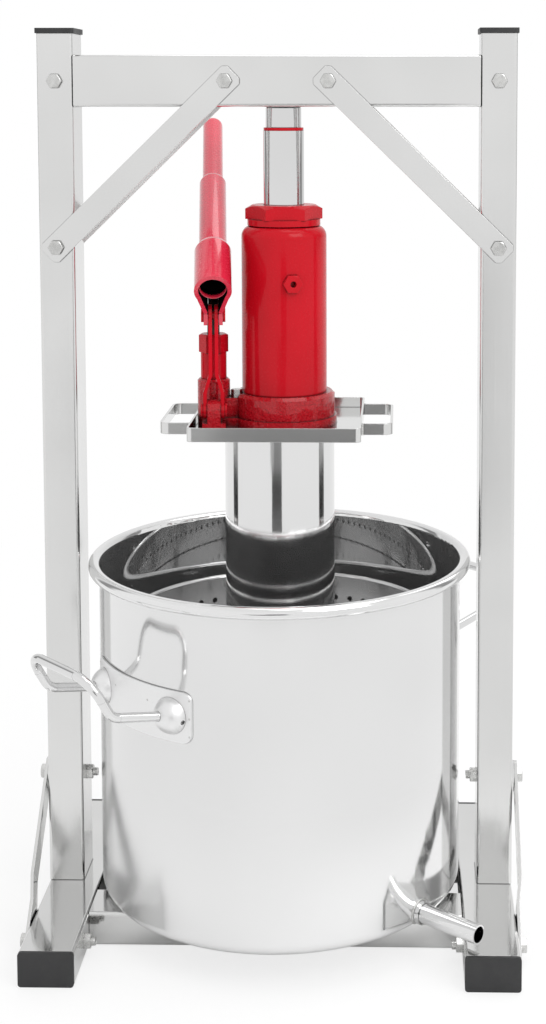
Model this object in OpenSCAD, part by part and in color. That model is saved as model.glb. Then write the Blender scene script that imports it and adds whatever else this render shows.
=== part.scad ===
// Hydraulic fruit press: a bolted steel frame, a juice pot with a perforated
// basket, and a press head that carries a bottle jack with a pump lever.
// Millimetres. Z is up, X runs from post to post, the front faces -Y.
// The origin is on the floor, midway between the feet.

/* [Feet and cross tubes] */
// Length of a foot over its end caps
foot_len = 345; // [300:1:420]
// Width of a foot tube
foot_w = 52; // [44:1:60]
// Height of the foot and cross tubes
foot_h = 33; // [30:1:45]
// Wall of the foot and cross tubes
foot_wall = 2; // [1.5:0.1:3]
// Outer corner radius of the frame tubes
tube_round = 3; // [2.6:0.1:4]
// Visible flange of a foot end cap
foot_cap_t = 4; // [2:0.5:6]
// Depth of the end cap's plug inside the tube
foot_cap_plug = 12; // [8:1:20]
// Corner radius of plugs and stubs inside the tubes
plug_round = 1; // [0.5:0.1:2]
// Depth of a cross tube, front to back
cross_w = 50; // [40:1:56]
// Distance of a cross tube's centre from the middle
cross_y = 68; // [60:1:80]
// Thickness of the threaded plate in a cross tube's end
cross_plate_t = 6; // [4:0.5:10]

/* [Posts and top beam] */
// Gap between the pot's rim and the posts
post_gap = 7; // [4:0.5:20]
// Width of a post
post_w = 35; // [30:1:45]
// Depth of a post, front to back
post_d = 50; // [44:1:60]
// Height of the post tops above the floor
post_top = 881; // [860:1:900]
// Wall of the post tubes
post_wall = 2; // [1.5:0.1:3]
// Height of a post cap above the tube
post_cap_t = 5; // [3:0.5:8]
// Depth of the post cap's plug inside the tube
post_cap_plug = 10; // [6:1:16]
// Overhang of a post cap round the tube
post_cap_over = 1.5; // [0.5:0.1:2]
// Height of the stub on the foot that fills the post's lower end
stub_len = 137; // [130:1:170]
// Wall of the stub
stub_wall = 3; // [2:0.1:4]
// Height of the top beam
beam_h = 50; // [44:1:60]
// Depth of the top beam, front to back
beam_d = 50; // [44:1:56]
// Distance from the post top down to the beam's upper face
beam_drop = 21; // [10:1:30]
// Wall of the beam
beam_wall = 2.5; // [2:0.1:4]
// Thickness of the plate closing a beam end
beam_plate_t = 10; // [6:0.5:14]
// Reach of the beam's tongue into the post
tongue_len = 29; // [25:0.5:30]
// Height of the tongue
tongue_h = 40; // [32:1:42]
// Depth of the tongue, front to back
tongue_d = 38; // [30:1:40]
// Gap round the tongue in the post's window
tongue_gap = 1; // [0.5:0.1:1.5]

/* [Braces] */
// Width of the flat bars
bar_w = 24; // [20:1:26]
// Thickness of the flat bars
bar_t = 3; // [2:0.1:4]
// Bar beyond the middle of its end hole
bar_end = 12; // [11:0.5:14]
// Clipped corner at the bar ends
bar_clip = 4; // [2:0.5:6]
// Drop from the beam's middle to the upper brace's bolt on the post
brace_drop = 161.5; // [130:0.5:200]
// Distance of the upper brace's beam bolt from the middle
brace_beam_x = 50; // [42:1:70]
// Height of the side straps' bolt on the post
strap_post_z = 136; // [125:1:155]
// Distance of a strap's foot bolt from the middle
strap_foot_y = 117; // [108:1:130]

/* [Fasteners] */
// Bolt diameter
bolt_d = 8; // [6:0.5:8]
// Width across flats of bolt heads and nuts
bolt_af = 13; // [12:0.5:14]
// Height of a bolt head
bolt_head = 5.5; // [4:0.5:7]
// Height of a nut
nut_h = 6.5; // [5:0.5:8]
// Bolt end standing out of its nut
bolt_out = 4; // [2:0.5:6]
// Turned-off top of a hexagon, as a share of the width across flats
hex_turn = 0.95; // [0.9:0.01:0.99]
// Radial gap of a bolt in its hole
bolt_gap = 0.3; // [0.2:0.05:0.5]

/* [Pot] */
// Outer radius of the pot
pot_r = 180; // [174:0.5:181]
// Height of the pot with its rim
pot_h = 331.5; // [310:0.5:345]
// Pot wall
pot_wall = 1.5; // [1:0.1:2]
// Outer radius of the pot's lower edge
pot_round = 12; // [8:0.5:16]
// Radius of the rolled rim
pot_bead = 6; // [4:0.1:6.5]
// Direction of the left handle, turned from the front
pot_handle_turn = 47; // [40:1:60]
// Height of the handle plate's middle above the pot's underside
pot_handle_z = 221; // [200:1:240]
// Half the distance between the two ends of a handle rod
pot_handle_half = 53; // [45:0.5:60]
// Radius of the handle rod
pot_rod_r = 4.5; // [3.5:0.1:5]
// Straight run of the rod out of the boss
pot_rod_out = 54; // [40:1:60]
// Rise of the straight run, in degrees
pot_rod_rise = 12; // [0:1:15]
// Radius of the bend that turns the rod upward
pot_bend_r = 18; // [14:1:22]
// Slope of the upturned loop, in degrees
pot_rod_slope = 60; // [35:1:65]
// Straight side of the loop
pot_rod_side = 12; // [6:1:20]
// Corner radius of the loop
pot_rod_corner = 24; // [18:1:28]
// Thinning of the rod's radius in its bends
pot_rod_thin = 0.1; // [0.05:0.05:0.3]
// Width of the handle plate
handle_plate_w = 150; // [140:1:165]
// Height of the handle plate
handle_plate_h = 48; // [42:1:56]
// Thickness of the handle plate
handle_plate_t = 2; // [1:0.1:3]
// Corner radius of the handle plate
handle_plate_round = 9; // [5:0.5:14]
// Radius of the boss's dome where it meets the pot
handle_dome_r = 17.5; // [16:0.5:22]
// Height of the boss's dome
handle_dome_h = 16; // [10:0.5:18]

/* [Spout] */
// Direction of the spout, turned from the front
spout_turn = 51; // [45:1:58]
// Height of the spout's middle above the pot's underside
spout_z = 14; // [11.5:0.5:24]
// Outer radius of the spout
spout_r = 9; // [8:0.1:10.5]
// Inner radius of the spout
spout_bore = 7.5; // [6:0.1:7.6]
// Reach of the spout from the pot's wall
spout_len = 69; // [50:1:80]
// Radius of the weld collar
spout_collar_r = 11; // [10.6:0.1:12]
// Length of the weld collar
spout_collar_len = 5; // [3:0.5:8]

/* [Basket] */
// Gap for the juice between pot and basket
juice_gap = 26.5; // [20:0.5:32]
// Basket wall
basket_wall_t = 1.2; // [0.8:0.1:2]
// Height of the basket
basket_h = 267.5; // [240:0.5:280]
// Radius of the basket's wired rim
basket_bead = 3.2; // [2.5:0.1:4]
// Height of the basket floor above the pot floor
basket_lift = 10; // [8:0.5:14]
// Thickness of the basket floor
basket_floor_t = 1.5; // [1:0.1:3]
// Distance between rings of holes in the floor
basket_ring_step = 41.9; // [30:0.1:45]
// Radius of a hole in the basket
basket_hole_r = 3; // [2:0.1:4]
// Distance from the rim to the first row of holes
basket_row_first = 26; // [18:1:30]
// Distance between rows of holes
basket_row_step = 24; // [22:1:26]
// Rows of holes
basket_rows = 9; // [6:1:9]
// Holes in a row
basket_holes = 28; // [16:1:40]
// Width of a drain notch in the basket's lower edge
basket_notch_w = 22; // [14:1:30]
// Height of a drain notch
basket_notch_h = 6; // [4:0.5:7]

/* [Press plate, column and tray] */
// Thickness of the press plate
plate_t = 6; // [4:0.5:10]
// Gap between the press plate and the basket
plate_gap = 2.3; // [1.5:0.1:5]
// Outer radius of the column
column_r = 54.5; // [48:0.5:60]
// Wall of the column
column_wall = 3; // [2:0.1:5]
// Length of the column
column_len = 240.6; // [225:0.1:255]
// Width of the tray
tray_w = 166; // [166:1:184]
// Depth of the tray, front to back
tray_d = 170; // [150:1:190]
// Height of the tray
tray_h = 13.4; // [11.5:0.1:18]
// Thickness of the tray floor
tray_floor_t = 3; // [2:0.1:4]
// Thickness of the tray walls
tray_wall = 2; // [1.5:0.1:2.5]
// Corner radius of the tray
tray_round = 5; // [3:0.5:8]
// Reach of a tray handle from the tray's side
tray_handle_out = 30; // [26:1:40]
// Length of a tray handle, front to back
tray_handle_len = 107; // [90:1:125]
// Height of the handle strip
tray_strip_h = 11; // [8:0.5:11.4]
// Thickness of the handle strip
tray_strip_t = 2.5; // [2:0.1:4]
// Outer bend radius of the handle strip
tray_strip_round = 9; // [6:0.5:12]

/* [Jack] */
// Offset of the jack to the right of the column
jack_x = 5; // [5:0.5:8]
// Turn of the jack on the tray
jack_turn = 6; // [2:1:8]
// Radius of the round base boss
base_r = 50; // [47:0.5:54]
// Height of the round base boss
base_h = 32.4; // [29:0.1:36]
// Bevel round the top of the base boss
base_bevel = 3; // [2:0.5:5]
// Thickness of the base's foot flange
base_flange_t = 9; // [7:0.5:12]
// Width of the foot flange beyond the boss
base_flange_out = 2; // [1:0.5:4]
// Outer radius of the oil tank
tank_r = 42; // [40:0.5:45]
// Wall of the oil tank
tank_wall = 4; // [3:0.5:5]
// Height of the oil tank
tank_h = 165; // [155:1:172]
// Shoulder radius of the oil tank
tank_round = 11; // [8:0.5:12]
// Inner radius of the pressure cylinder
cyl_bore = 24.1; // [23:0.1:25]
// Wall of the pressure cylinder
cyl_wall = 4; // [3:0.1:5]
// Depth of the cylinder's seat in the base
cyl_seat = 5; // [3:0.5:8]
// Radius of the cap nut's round collar
cap_collar_r = 36; // [34:0.5:38]
// Height of the cap nut's round collar
cap_collar_h = 6; // [4:0.5:8]
// Width across flats of the cap nut
cap_af = 66; // [58:1:68]
// Height of the cap nut's hexagon
cap_hex_h = 14; // [10:0.5:16]
// Lip of the cap nut's spigot over the pressure cylinder
cap_lip = 2; // [1:0.1:3]
// Length of the cap nut's spigot inside the tank
cap_spigot = 13; // [13:0.5:16]
// Radius of the ram
ram_r = 20; // [18:0.1:21]
// Length of the ram from piston to top
ram_len = 159; // [150:1:164]
// Ram standing out of the cap nut
ram_out = 72.7; // [60:0.1:85]
// Height of the piston on the ram's lower end
piston_h = 18; // [14:1:20]
// Height of the seal ring in the piston
seal_h = 6; // [4:0.5:8]
// Depth of the seal groove
seal_depth = 4; // [3:0.5:5]
// Height of the red ring on the ram
ram_ring_h = 3; // [2:0.5:4]
// Step from the ram in to its red ring
ram_ring_in = 0.4; // [0.2:0.1:1]
// Radius of the extension screw's head
screw_head_r = 17.5; // [15:0.5:18.5]
// Height of the extension screw's head
screw_head_h = 19.7; // [16:0.1:24]
// Bevel round the top of the screw's head
screw_bevel = 1; // [0.5:0.1:2]
// Depth of the dish in the top of the head
screw_dish = 1.5; // [0.5:0.1:3]
// Flat left round the dish
screw_land = 5.5; // [4:0.5:8]
// Radius of the extension screw's shank
screw_r = 12; // [10:0.5:13]
// Length of the shank in the ram
screw_len = 85; // [60:1:92]
// Gap between the screw's head and the beam
beam_gap = 0.3; // [0.2:0.1:1]
// Direction of the filler plug, turned from the jack's front
plug_turn = 9; // [0:1:20]
// Height of the filler plug above the base
plug_z = 143; // [130:1:150]
// Width across flats of the filler plug
plug_af = 17; // [15:0.5:19]
// Height of the filler plug's head
plug_head_h = 5; // [4:0.5:7]
// Radius of the filler plug's shank
plug_r = 5.5; // [5:0.1:6]
// Radius of the hole in the filler plug
plug_hole_r = 3; // [2:0.1:3.5]

/* [Pump] */
// Distance of the pump to the left of the ram
pump_x = 70; // [68:0.5:71]
// Radius of the pump boss
pump_boss_r = 16; // [15:0.1:16.5]
// Height of the pump boss above the base's underside
pump_boss_h = 47; // [44:0.5:50]
// Bevel round the top of the pump boss
pump_bevel = 2; // [1:0.5:3]
// Step from the pump boss in to the web that joins it to the base
web_in = 4; // [3:0.5:6]
// Outer radius of the pump cylinder
pump_r = 12.7; // [11.5:0.1:13.5]
// Height of the pump cylinder above the boss
pump_h = 26; // [22:0.5:28]
// Depth of the pump cylinder in the boss
pump_seat = 14; // [10:0.5:18]
// Floor left under the pump cylinder's bore
pump_floor = 4; // [2:0.5:8]
// Width across flats of the pump's gland nut
gland_af = 25; // [23:0.5:28]
// Height of the gland nut
gland_h = 18; // [14:0.5:18.5]
// Radius of the plunger
plunger_r = 6; // [5:0.1:7]
// Depth of the plunger below the gland nut's top
plunger_deep = 36; // [30:1:38]
// Radius of the plunger's eye
eye_r = 8.5; // [7.5:0.1:8.8]
// Width of the plunger's eye
eye_w = 9.6; // [8.5:0.1:10]
// Play of the pin along the eye's slot, each way
eye_play = 1; // [0.9:0.1:1.4]
// Width across flats of the check valve's plug
check_af = 10; // [8:0.5:10.5]
// Height of the check plug's hexagon
check_h = 8; // [6:0.5:10]
// Radius of the plug's shank
check_r = 4; // [3:0.1:4.2]
// Length of the plug's shank
check_len = 10; // [8:0.5:14]
// Radius of the spot face under the plug
check_face_r = 6.4; // [6.2:0.1:6.5]
// Depth of the spot face below the base's top
check_drop = 4; // [3:0.5:6]
// Distance of the check plug to the right of the pump boss
check_out = 6.5; // [6:0.5:9]
// Distance of the check plug behind the pump boss's front
check_back = 11; // [9:0.5:14]
// Drilled depth below the check plug's shank
check_clear = 4; // [2:0.5:6]
// Distance of the release valve to the left of the ram
valve_x = 58; // [57.5:0.5:60]
// Height of the release valve above the base's underside
valve_z = 19.5; // [19.5:0.5:22]
// Radius of the release valve's stem
valve_r = 6; // [5:0.1:6.5]
// Length of the release valve's stem
valve_len = 18; // [14:0.5:20]
// Radius of the release valve's knob
valve_knob_r = 9; // [8:0.1:9.4]
// Length of the release valve's knob
valve_knob_len = 12; // [8:0.5:14]
// Width of the slot across the knob
valve_slot_w = 3; // [2:0.5:5]
// Depth of the slot across the knob
valve_slot = 4; // [2:0.5:6]
// Radius of the boss round the release valve
valve_boss_r = 11; // [9.5:0.5:12]
// Position of the boss's outer face behind the ram
valve_face_y = 22; // [21:0.5:26]

/* [Lever] */
// Distance of the fulcrum pin in front of the pump
arm_len = 27.7; // [26:0.1:29]
// Height of the pump pin over the fulcrum pin
arm_rise = 3.9; // [3:0.1:5]
// Distance of the pump behind the ram's front line
pump_y = -6.3; // [-9:0.1:-4]
// Height of the fulcrum pin above the base's underside
fulcrum_z = 112.4; // [111.5:0.1:118]
// Distance of the lug pin in front of the fulcrum pin
lug_front = 4; // [2:0.5:6]
// Height of the lug pin above the base's underside
lug_z = 20.4; // [19:0.1:24]
// Width of the lug
lug_w = 12.6; // [9:0.1:14]
// Shelf of the base on each side of the lug
lug_shelf = 5; // [4:0.5:8]
// Drop of the shelf below the link straps
lug_under = 1; // [0.5:0.5:2]
// Slope of the lug's back at its foot
lug_slope = 2.1; // [1:0.1:4]
// Radius of the lug's and links' eyes
lug_r = 10.5; // [9.5:0.1:11]
// Radius of the pins
pin_r = 4; // [3:0.1:4.2]
// Radius of the pin heads
pin_head_r = 6.5; // [6:0.1:7.5]
// Thickness of the pin heads
pin_head_t = 2.5; // [2:0.1:3]
// Thickness of a link strap
link_t = 3.5; // [3:0.1:3.8]
// Half the width of a link strap
link_half = 8; // [7:0.1:8.5]
// Half width of the link straps between the ends
link_waist = 6.5; // [5.5:0.1:6.8]
// Centre of the straps' round top above the fulcrum pin
link_nose = 3; // [1:0.5:4]
// Gap between the straps at the fulcrum
link_gap_top = 2.5; // [2:0.1:3]
// Height above the lug pin where the straps start to close up
link_fork = 18; // [15:0.5:30]
// Height over which the straps close up
link_joggle = 17; // [12:0.5:24]
// Outer radius of the handle socket
socket_r = 18; // [16:0.1:19]
// Inner radius of the handle socket
socket_bore = 13.9; // [13.7:0.1:14.2]
// Length of the handle socket
socket_len = 67; // [60:1:80]
// Length of the socket's tapered rear end
socket_nose = 7; // [4:0.5:10]
// Step down to the tapered end
socket_step = 0.3; // [0.2:0.1:1]
// Wall left at the end of the taper
socket_lip = 0.9; // [0.6:0.1:1.5]
// Distance below the socket's axis where its walls close in to the ears
socket_throat = 27; // [25:0.5:30]
// Share of the roll's radius where its straight walls start
roll_tuck = 0.97; // [0.94:0.01:0.98]
// Distance from the fulcrum pin to the socket's axis
socket_drop = 38; // [34:0.5:42]
// Distance of the fulcrum pin behind the socket's front end
socket_front = 10; // [8:0.5:14]
// Rise of the handle, in degrees
handle_rise = 32; // [27:1:33]
// Inner gap between the socket's ears
ear_gap = 10.4; // [10.2:0.1:12]
// Thickness of an ear
ear_t = 4; // [3:0.1:5]
// Ear left round the pins
ear_edge = 9; // [7.5:0.5:10]
// Ear left below the pump pin
ear_low = 7; // [6:0.5:7.5]
// Start of the ears behind the socket's front end
ear_start = 3; // [1:0.5:6]
// End of the ears in front of the socket's rear end
ear_stop = 8; // [7:0.5:14]
// Clipped corner at the lower front of the ears
ear_clip = 4; // [2:0.5:6]
// Clipped corner at the lower rear of the ears
ear_heel = 3; // [2:0.5:5]
// Height of the ears' front corner above the fulcrum pin
ear_brow = 2; // [0:0.5:4]
// Outer radius of the lower handle tube
handle_r1 = 13.6; // [12:0.1:13.6]
// Wall of the lower handle tube
handle_wall1 = 2.9; // [1.5:0.1:3]
// Start of the lower handle tube behind the socket's front end
handle_in = 16; // [2:1:24]
// Wall left at the lower tube's flared mouth
handle_lip = 0.9; // [0.5:0.1:1.4]
// Depth of the flare in that mouth
handle_flare = 8; // [4:0.5:12]
// End of the lower handle tube behind the socket's front end
handle_end1 = 181; // [160:1:200]
// Length of the tapered end of the lower handle tube
handle_nose = 5; // [3:0.5:8]
// Gap between the two handle tubes
handle_gap = 0.2; // [0.1:0.05:0.4]
// Wall of the upper handle tube
handle_wall2 = 2; // [1.5:0.1:3]
// Overlap of the two handle tubes
handle_lap = 35; // [25:1:60]
// End of the upper handle tube behind the socket's front end
handle_end2 = 284; // [260:1:300]

/* [Fits] */
// Gap between parts that turn or slide on each other
run_gap = 0.3; // [0.2:0.05:0.4]
// Gap at welded or pushed-in seams
seam_gap = 0.1; // [0.05:0.05:0.2]

/* [Hidden] */
$fa = 6;
$fs = 1;
big = 2000;

// frame heights and faces
post_in = pot_r - pot_wall + 2 * pot_bead + post_gap;
post_x = post_in + post_w / 2;
side_x = post_x + post_w / 2;
foot_x = side_x - foot_w / 2;
foot_in = side_x - foot_w;
tube_len = foot_len - 2 * foot_cap_t;
mid_z = foot_h / 2;
beam_z = post_top - beam_drop - beam_h;
beam_mid = beam_z + beam_h / 2;
brace_post_z = beam_mid - brace_drop;
beam_half = post_in - run_gap;
hole_d = bolt_d + 2 * bolt_gap;

// pot and basket
pot_z = foot_h;
pot_top = pot_z + pot_h;
pot_in = pot_r - pot_wall;
bead_x = pot_in + pot_bead;
bead_z = pot_top - pot_bead;
pot_floor = pot_z + pot_wall;
rod_start = sqrt(pow(pot_r, 2) - pow(pot_handle_half, 2)) + 2 * handle_plate_t;
basket_r = pot_in - juice_gap;
basket_in = basket_r - basket_wall_t;
basket_top = pot_floor + basket_h;

// press head, hung from the beam by the ram and its screw
screw_top = beam_z - beam_gap;
ring_top = screw_top - screw_head_h - run_gap;
ram_top = ring_top - ram_ring_h;
ram_low = ram_top - ram_len;
cap_z = ram_top - ram_out - cap_hex_h;
tank_top = cap_z - cap_collar_h;
base_top = tank_top - tank_h;
jack_z = base_top - base_h;
tray_z = jack_z - tray_floor_t;
plate_top = tray_z - column_len;
plate_r = basket_in - plate_gap;
cyl_r = cyl_bore + cyl_wall;
cap_bore = cyl_r + cap_lip;
piston_r = cyl_bore - run_gap;

// pump and lever, in the jack's own directions
boss_top = jack_z + pump_boss_h;
gland_z = boss_top + pump_h;
gland_top = gland_z + gland_h;
ful_y = pump_y - arm_len;
ful_z = jack_z + fulcrum_z;
eye_z = ful_z + arm_rise;
lug_y = ful_y - lug_front;
lug_pin_z = jack_z + lug_z;
rise_c = cos(handle_rise);
rise_s = sin(handle_rise);
mouth_y = ful_y - socket_front * rise_c - socket_drop * rise_s;
mouth_z = ful_z - socket_front * rise_s + socket_drop * rise_c;
handle_r2 = handle_r1 - handle_wall1 - handle_gap;
fork_in = lug_w / 2 + run_gap;
pack = 2 * max(fork_in + link_t, ear_gap / 2 + ear_t);
check_x = -pump_x + pump_boss_r + check_out;
check_y = pump_y - pump_boss_r + check_back;

// colours
c_steel = [0.80, 0.81, 0.82];
c_bolt = [0.66, 0.67, 0.68];
c_black = [0.08, 0.08, 0.09];
c_red = [0.74, 0.03, 0.07];
c_chrome = [0.85, 0.86, 0.88];

// 2-D outline with four round corners, centred
module round_rect(w, h, r) {
    square([w - 2 * r, h], center = true);
    square([w, h - 2 * r], center = true);
    for (x = [-1, 1])
        for (y = [-1, 1])
            translate([x * (w / 2 - r), y * (h / 2 - r)])
                circle(r);
}

// 2-D section of a rectangular tube
module tube_section(w, h, t) {
    difference() {
        round_rect(w, h, tube_round);
        round_rect(w - 2 * t, h - 2 * t, max(tube_round - t, 0.5));
    }
}

// hexagon standing on z = 0, its upper corners turned off at 30 degrees
module hex(af, h) {
    top = hex_turn * af / 2;
    intersection() {
        cylinder(d = af / cos(30), h = h, $fn = 6);
        cylinder(r1 = top + h / tan(30), r2 = top, h = h);
    }
}

// bolt along +z: head below z = 0, nut on the face at z = grip
module bolt(grip) {
    mirror([0, 0, 1])
        hex(bolt_af, bolt_head);
    cylinder(d = bolt_d, h = grip + nut_h + bolt_out);
    translate([0, 0, grip])
        hex(bolt_af, nut_h);
}

// flat bar in the xy plane between two holes, lower face on z = 0
module flat_bar(a, b) {
    run = b - a;
    len = norm(run);
    ang = atan2(run[1], run[0]);
    w = bar_w / 2;
    l = len + bar_end;
    c = bar_clip;
    difference() {
        translate([a[0], a[1], 0])
            rotate([0, 0, ang])
                linear_extrude(bar_t)
                    polygon([
                        [-bar_end, -w + c], [-bar_end + c, -w],
                        [l - c, -w], [l, -w + c],
                        [l, w - c], [l - c, w],
                        [-bar_end + c, w], [-bar_end, w - c]
                    ]);
        for (p = [a, b])
            translate([p[0], p[1], -1])
                cylinder(d = hole_d, h = bar_t + 2);
    }
}

// holes along x through everything, at one height and depth
module x_hole(y, z, d) {
    translate([0, y, z])
        rotate([0, 90, 0])
            cylinder(d = d, h = big, center = true);
}

// holes along y through everything
module y_hole(x, z, d) {
    translate([x, 0, z])
        rotate([90, 0, 0])
            cylinder(d = d, h = big, center = true);
}

// foot tube with the holes for the cross tubes and the straps
module foot(side) {
    difference() {
        translate([side * foot_x, 0, mid_z])
            rotate([90, 0, 0])
                linear_extrude(tube_len, center = true)
                    tube_section(foot_w, foot_h, foot_wall);
        for (y = [-cross_y, cross_y, -strap_foot_y, strap_foot_y])
            x_hole(y, mid_z, hole_d);
    }
}

module foot_left() {
    color(c_steel)
        foot(-1);
}

module foot_right() {
    color(c_steel)
        foot(1);
}

// four plastic plugs in the ends of the feet
module foot_caps() {
    g = 2 * (foot_wall + seam_gap);
    color(c_black)
        for (s = [-1, 1])
            for (e = [-1, 1])
                translate([s * foot_x, e * tube_len / 2, mid_z])
                    rotate([-90 * e, 0, 0]) {
                        linear_extrude(foot_cap_t)
                            round_rect(foot_w, foot_h, tube_round);
                        translate([0, 0, -foot_cap_plug])
                            linear_extrude(foot_cap_plug + foot_cap_t / 2)
                                round_rect(foot_w - g, foot_h - g, plug_round);
                    }
}

// cross tube between the feet, with a threaded plate in each end
module cross_tube(side) {
    translate([0, side * cross_y, mid_z])
        rotate([90, 0, 90])
            linear_extrude(2 * foot_in, center = true)
                tube_section(cross_w, foot_h, foot_wall);
    for (s = [-1, 1])
        difference() {
            translate([s * (foot_in - cross_plate_t / 2), side * cross_y, mid_z])
                cube([cross_plate_t, cross_w - foot_wall, foot_h - foot_wall], center = true);
            x_hole(side * cross_y, mid_z, bolt_d + 2 * seam_gap);
        }
}

module cross_tube_front() {
    color(c_steel)
        cross_tube(-1);
}

module cross_tube_rear() {
    color(c_steel)
        cross_tube(1);
}

// upright tube with a window for the beam's tongue
module post(side) {
    difference() {
        translate([side * post_x, 0, foot_h])
            linear_extrude(post_top - foot_h)
                tube_section(post_w, post_d, post_wall);
        translate([side * post_in, 0, beam_mid])
            cube([3 * post_wall, tongue_d + 2 * tongue_gap, tongue_h + 2 * tongue_gap], center = true);
        y_hole(side * post_x, beam_mid, hole_d);
        y_hole(side * post_x, brace_post_z, hole_d);
        x_hole(0, strap_post_z, hole_d);
    }
}

module post_left() {
    color(c_steel)
        post(-1);
}

module post_right() {
    color(c_steel)
        post(1);
}

// stubs that stand on the feet inside the posts and take the strap bolts
module post_stubs() {
    w = post_w - 2 * (post_wall + run_gap);
    d = post_d - 2 * (post_wall + run_gap);
    color(c_steel)
        difference() {
            for (s = [-1, 1])
                translate([s * post_x, 0, foot_h])
                    linear_extrude(stub_len)
                        difference() {
                            round_rect(w, d, plug_round);
                            square([w - 2 * stub_wall, d - 2 * stub_wall], center = true);
                        }
            x_hole(0, strap_post_z, hole_d);
        }
}

// plastic caps pushed into the post tops
module post_caps() {
    g = 2 * (post_wall + seam_gap);
    o = 2 * post_cap_over;
    color(c_black)
        for (s = [-1, 1])
            translate([s * post_x, 0, post_top]) {
                linear_extrude(post_cap_t)
                    round_rect(post_w + o, post_d + o, tube_round);
                translate([0, 0, -post_cap_plug])
                    linear_extrude(post_cap_plug + post_cap_t / 2)
                        round_rect(post_w - g, post_d - g, plug_round);
            }
}

// beam with a closing plate and a tongue at each end
module top_beam() {
    color(c_steel)
        difference() {
            union() {
                translate([0, 0, beam_mid])
                    rotate([90, 0, 90])
                        linear_extrude(2 * beam_half, center = true)
                            tube_section(beam_d, beam_h, beam_wall);
                for (s = [-1, 1]) {
                    translate([s * (beam_half - beam_plate_t / 2), 0, beam_mid])
                        cube([beam_plate_t, beam_d - beam_wall, beam_h - beam_wall], center = true);
                    translate([s * (beam_half + (tongue_len - beam_plate_t) / 2), 0, beam_mid])
                        cube([tongue_len + beam_plate_t, tongue_d, tongue_h], center = true);
                }
            }
            for (s = [-1, 1]) {
                y_hole(s * post_x, beam_mid, hole_d);
                y_hole(s * brace_beam_x, beam_mid, hole_d);
            }
        }
}

// diagonal brace from post to beam, on the front or the rear face
module brace(side, face) {
    a = [side * post_x, brace_post_z];
    b = [side * brace_beam_x, beam_mid];
    translate([0, face < 0 ? -post_d / 2 : post_d / 2 + bar_t, 0])
        rotate([90, 0, 0])
            flat_bar(a, b);
}

module brace_front_left() {
    color(c_steel)
        brace(-1, -1);
}

module brace_front_right() {
    color(c_steel)
        brace(1, -1);
}

module brace_rear_left() {
    color(c_steel)
        brace(-1, 1);
}

module brace_rear_right() {
    color(c_steel)
        brace(1, 1);
}

// strap from the post to the foot; the upper one of a pair is joggled by its thickness
module strap(face, joggled) {
    rise = strap_post_z - mid_z;
    len = norm([strap_foot_y, rise]);
    ang = atan2(strap_foot_y, rise);
    top = joggled ? bar_t : 0;
    low = len - 3 * bar_end;
    mid = len - 5 * bar_end;
    translate([side_x, 0, strap_post_z])
        rotate([face * ang, 0, 0])
            difference() {
                intersection() {
                    rotate([90, 0, 0])
                        linear_extrude(bar_w, center = true)
                            polygon([
                                [top, bar_end], [top, -mid], [0, -low], [0, -len - bar_end],
                                [bar_t, -len - bar_end], [bar_t, -low],
                                [top + bar_t, -mid], [top + bar_t, bar_end]
                            ]);
                    rotate([90, 0, 90])
                        linear_extrude(4 * bar_t)
                            polygon([
                                [-bar_w / 2, bar_end - bar_clip], [-bar_w / 2 + bar_clip, bar_end],
                                [bar_w / 2 - bar_clip, bar_end], [bar_w / 2, bar_end - bar_clip],
                                [bar_w / 2, -len - bar_end + bar_clip],
                                [bar_w / 2 - bar_clip, -len - bar_end],
                                [-bar_w / 2 + bar_clip, -len - bar_end],
                                [-bar_w / 2, -len - bar_end + bar_clip]
                            ]);
                }
                x_hole(0, 0, hole_d);
                x_hole(0, -len, hole_d);
            }
}

module strap_right_front() {
    color(c_steel)
        strap(-1, true);
}

module strap_right_rear() {
    color(c_steel)
        strap(1, false);
}

module strap_left_front() {
    color(c_steel)
        mirror([1, 0, 0])
            strap(-1, true);
}

module strap_left_rear() {
    color(c_steel)
        mirror([1, 0, 0])
            strap(1, false);
}

// screws that draw the feet onto the cross tubes
module base_bolts() {
    color(c_bolt)
        for (s = [0, 1])
            mirror([s, 0, 0])
                for (y = [-cross_y, cross_y])
                    translate([side_x, y, mid_z])
                        rotate([0, -90, 0]) {
                            mirror([0, 0, 1])
                                hex(bolt_af, bolt_head);
                            cylinder(d = bolt_d, h = foot_w + cross_plate_t + bolt_out);
                        }
}

module strap_foot_bolts() {
    color(c_bolt)
        for (s = [0, 1])
            mirror([s, 0, 0])
                for (y = [-strap_foot_y, strap_foot_y])
                    translate([side_x + bar_t, y, mid_z])
                        rotate([0, -90, 0])
                            bolt(foot_w + bar_t);
}

module strap_post_bolts() {
    color(c_bolt)
        for (s = [0, 1])
            mirror([s, 0, 0])
                translate([side_x + 2 * bar_t, 0, strap_post_z])
                    rotate([0, -90, 0])
                        bolt(post_w + 2 * bar_t);
}

// long bolts through the front and rear braces
module brace_bolts() {
    color(c_bolt)
        for (s = [-1, 1]) {
            translate([s * post_x, -post_d / 2 - bar_t, brace_post_z])
                rotate([-90, 0, 0])
                    bolt(post_d + 2 * bar_t);
            translate([s * brace_beam_x, -post_d / 2 - bar_t, beam_mid])
                rotate([-90, 0, 0])
                    bolt(post_d + 2 * bar_t);
        }
}

module beam_bolts() {
    color(c_bolt)
        for (s = [-1, 1])
            translate([s * post_x, -post_d / 2, beam_mid])
                rotate([-90, 0, 0])
                    bolt(post_d);
}

// half profile of a vessel with a round lower edge
module vessel_half(r, low, top, edge) {
    translate([0, low])
        square([r - edge, edge]);
    translate([r - edge, low + edge])
        circle(edge);
    translate([0, low + edge])
        square([r, top - low - edge]);
}

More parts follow.
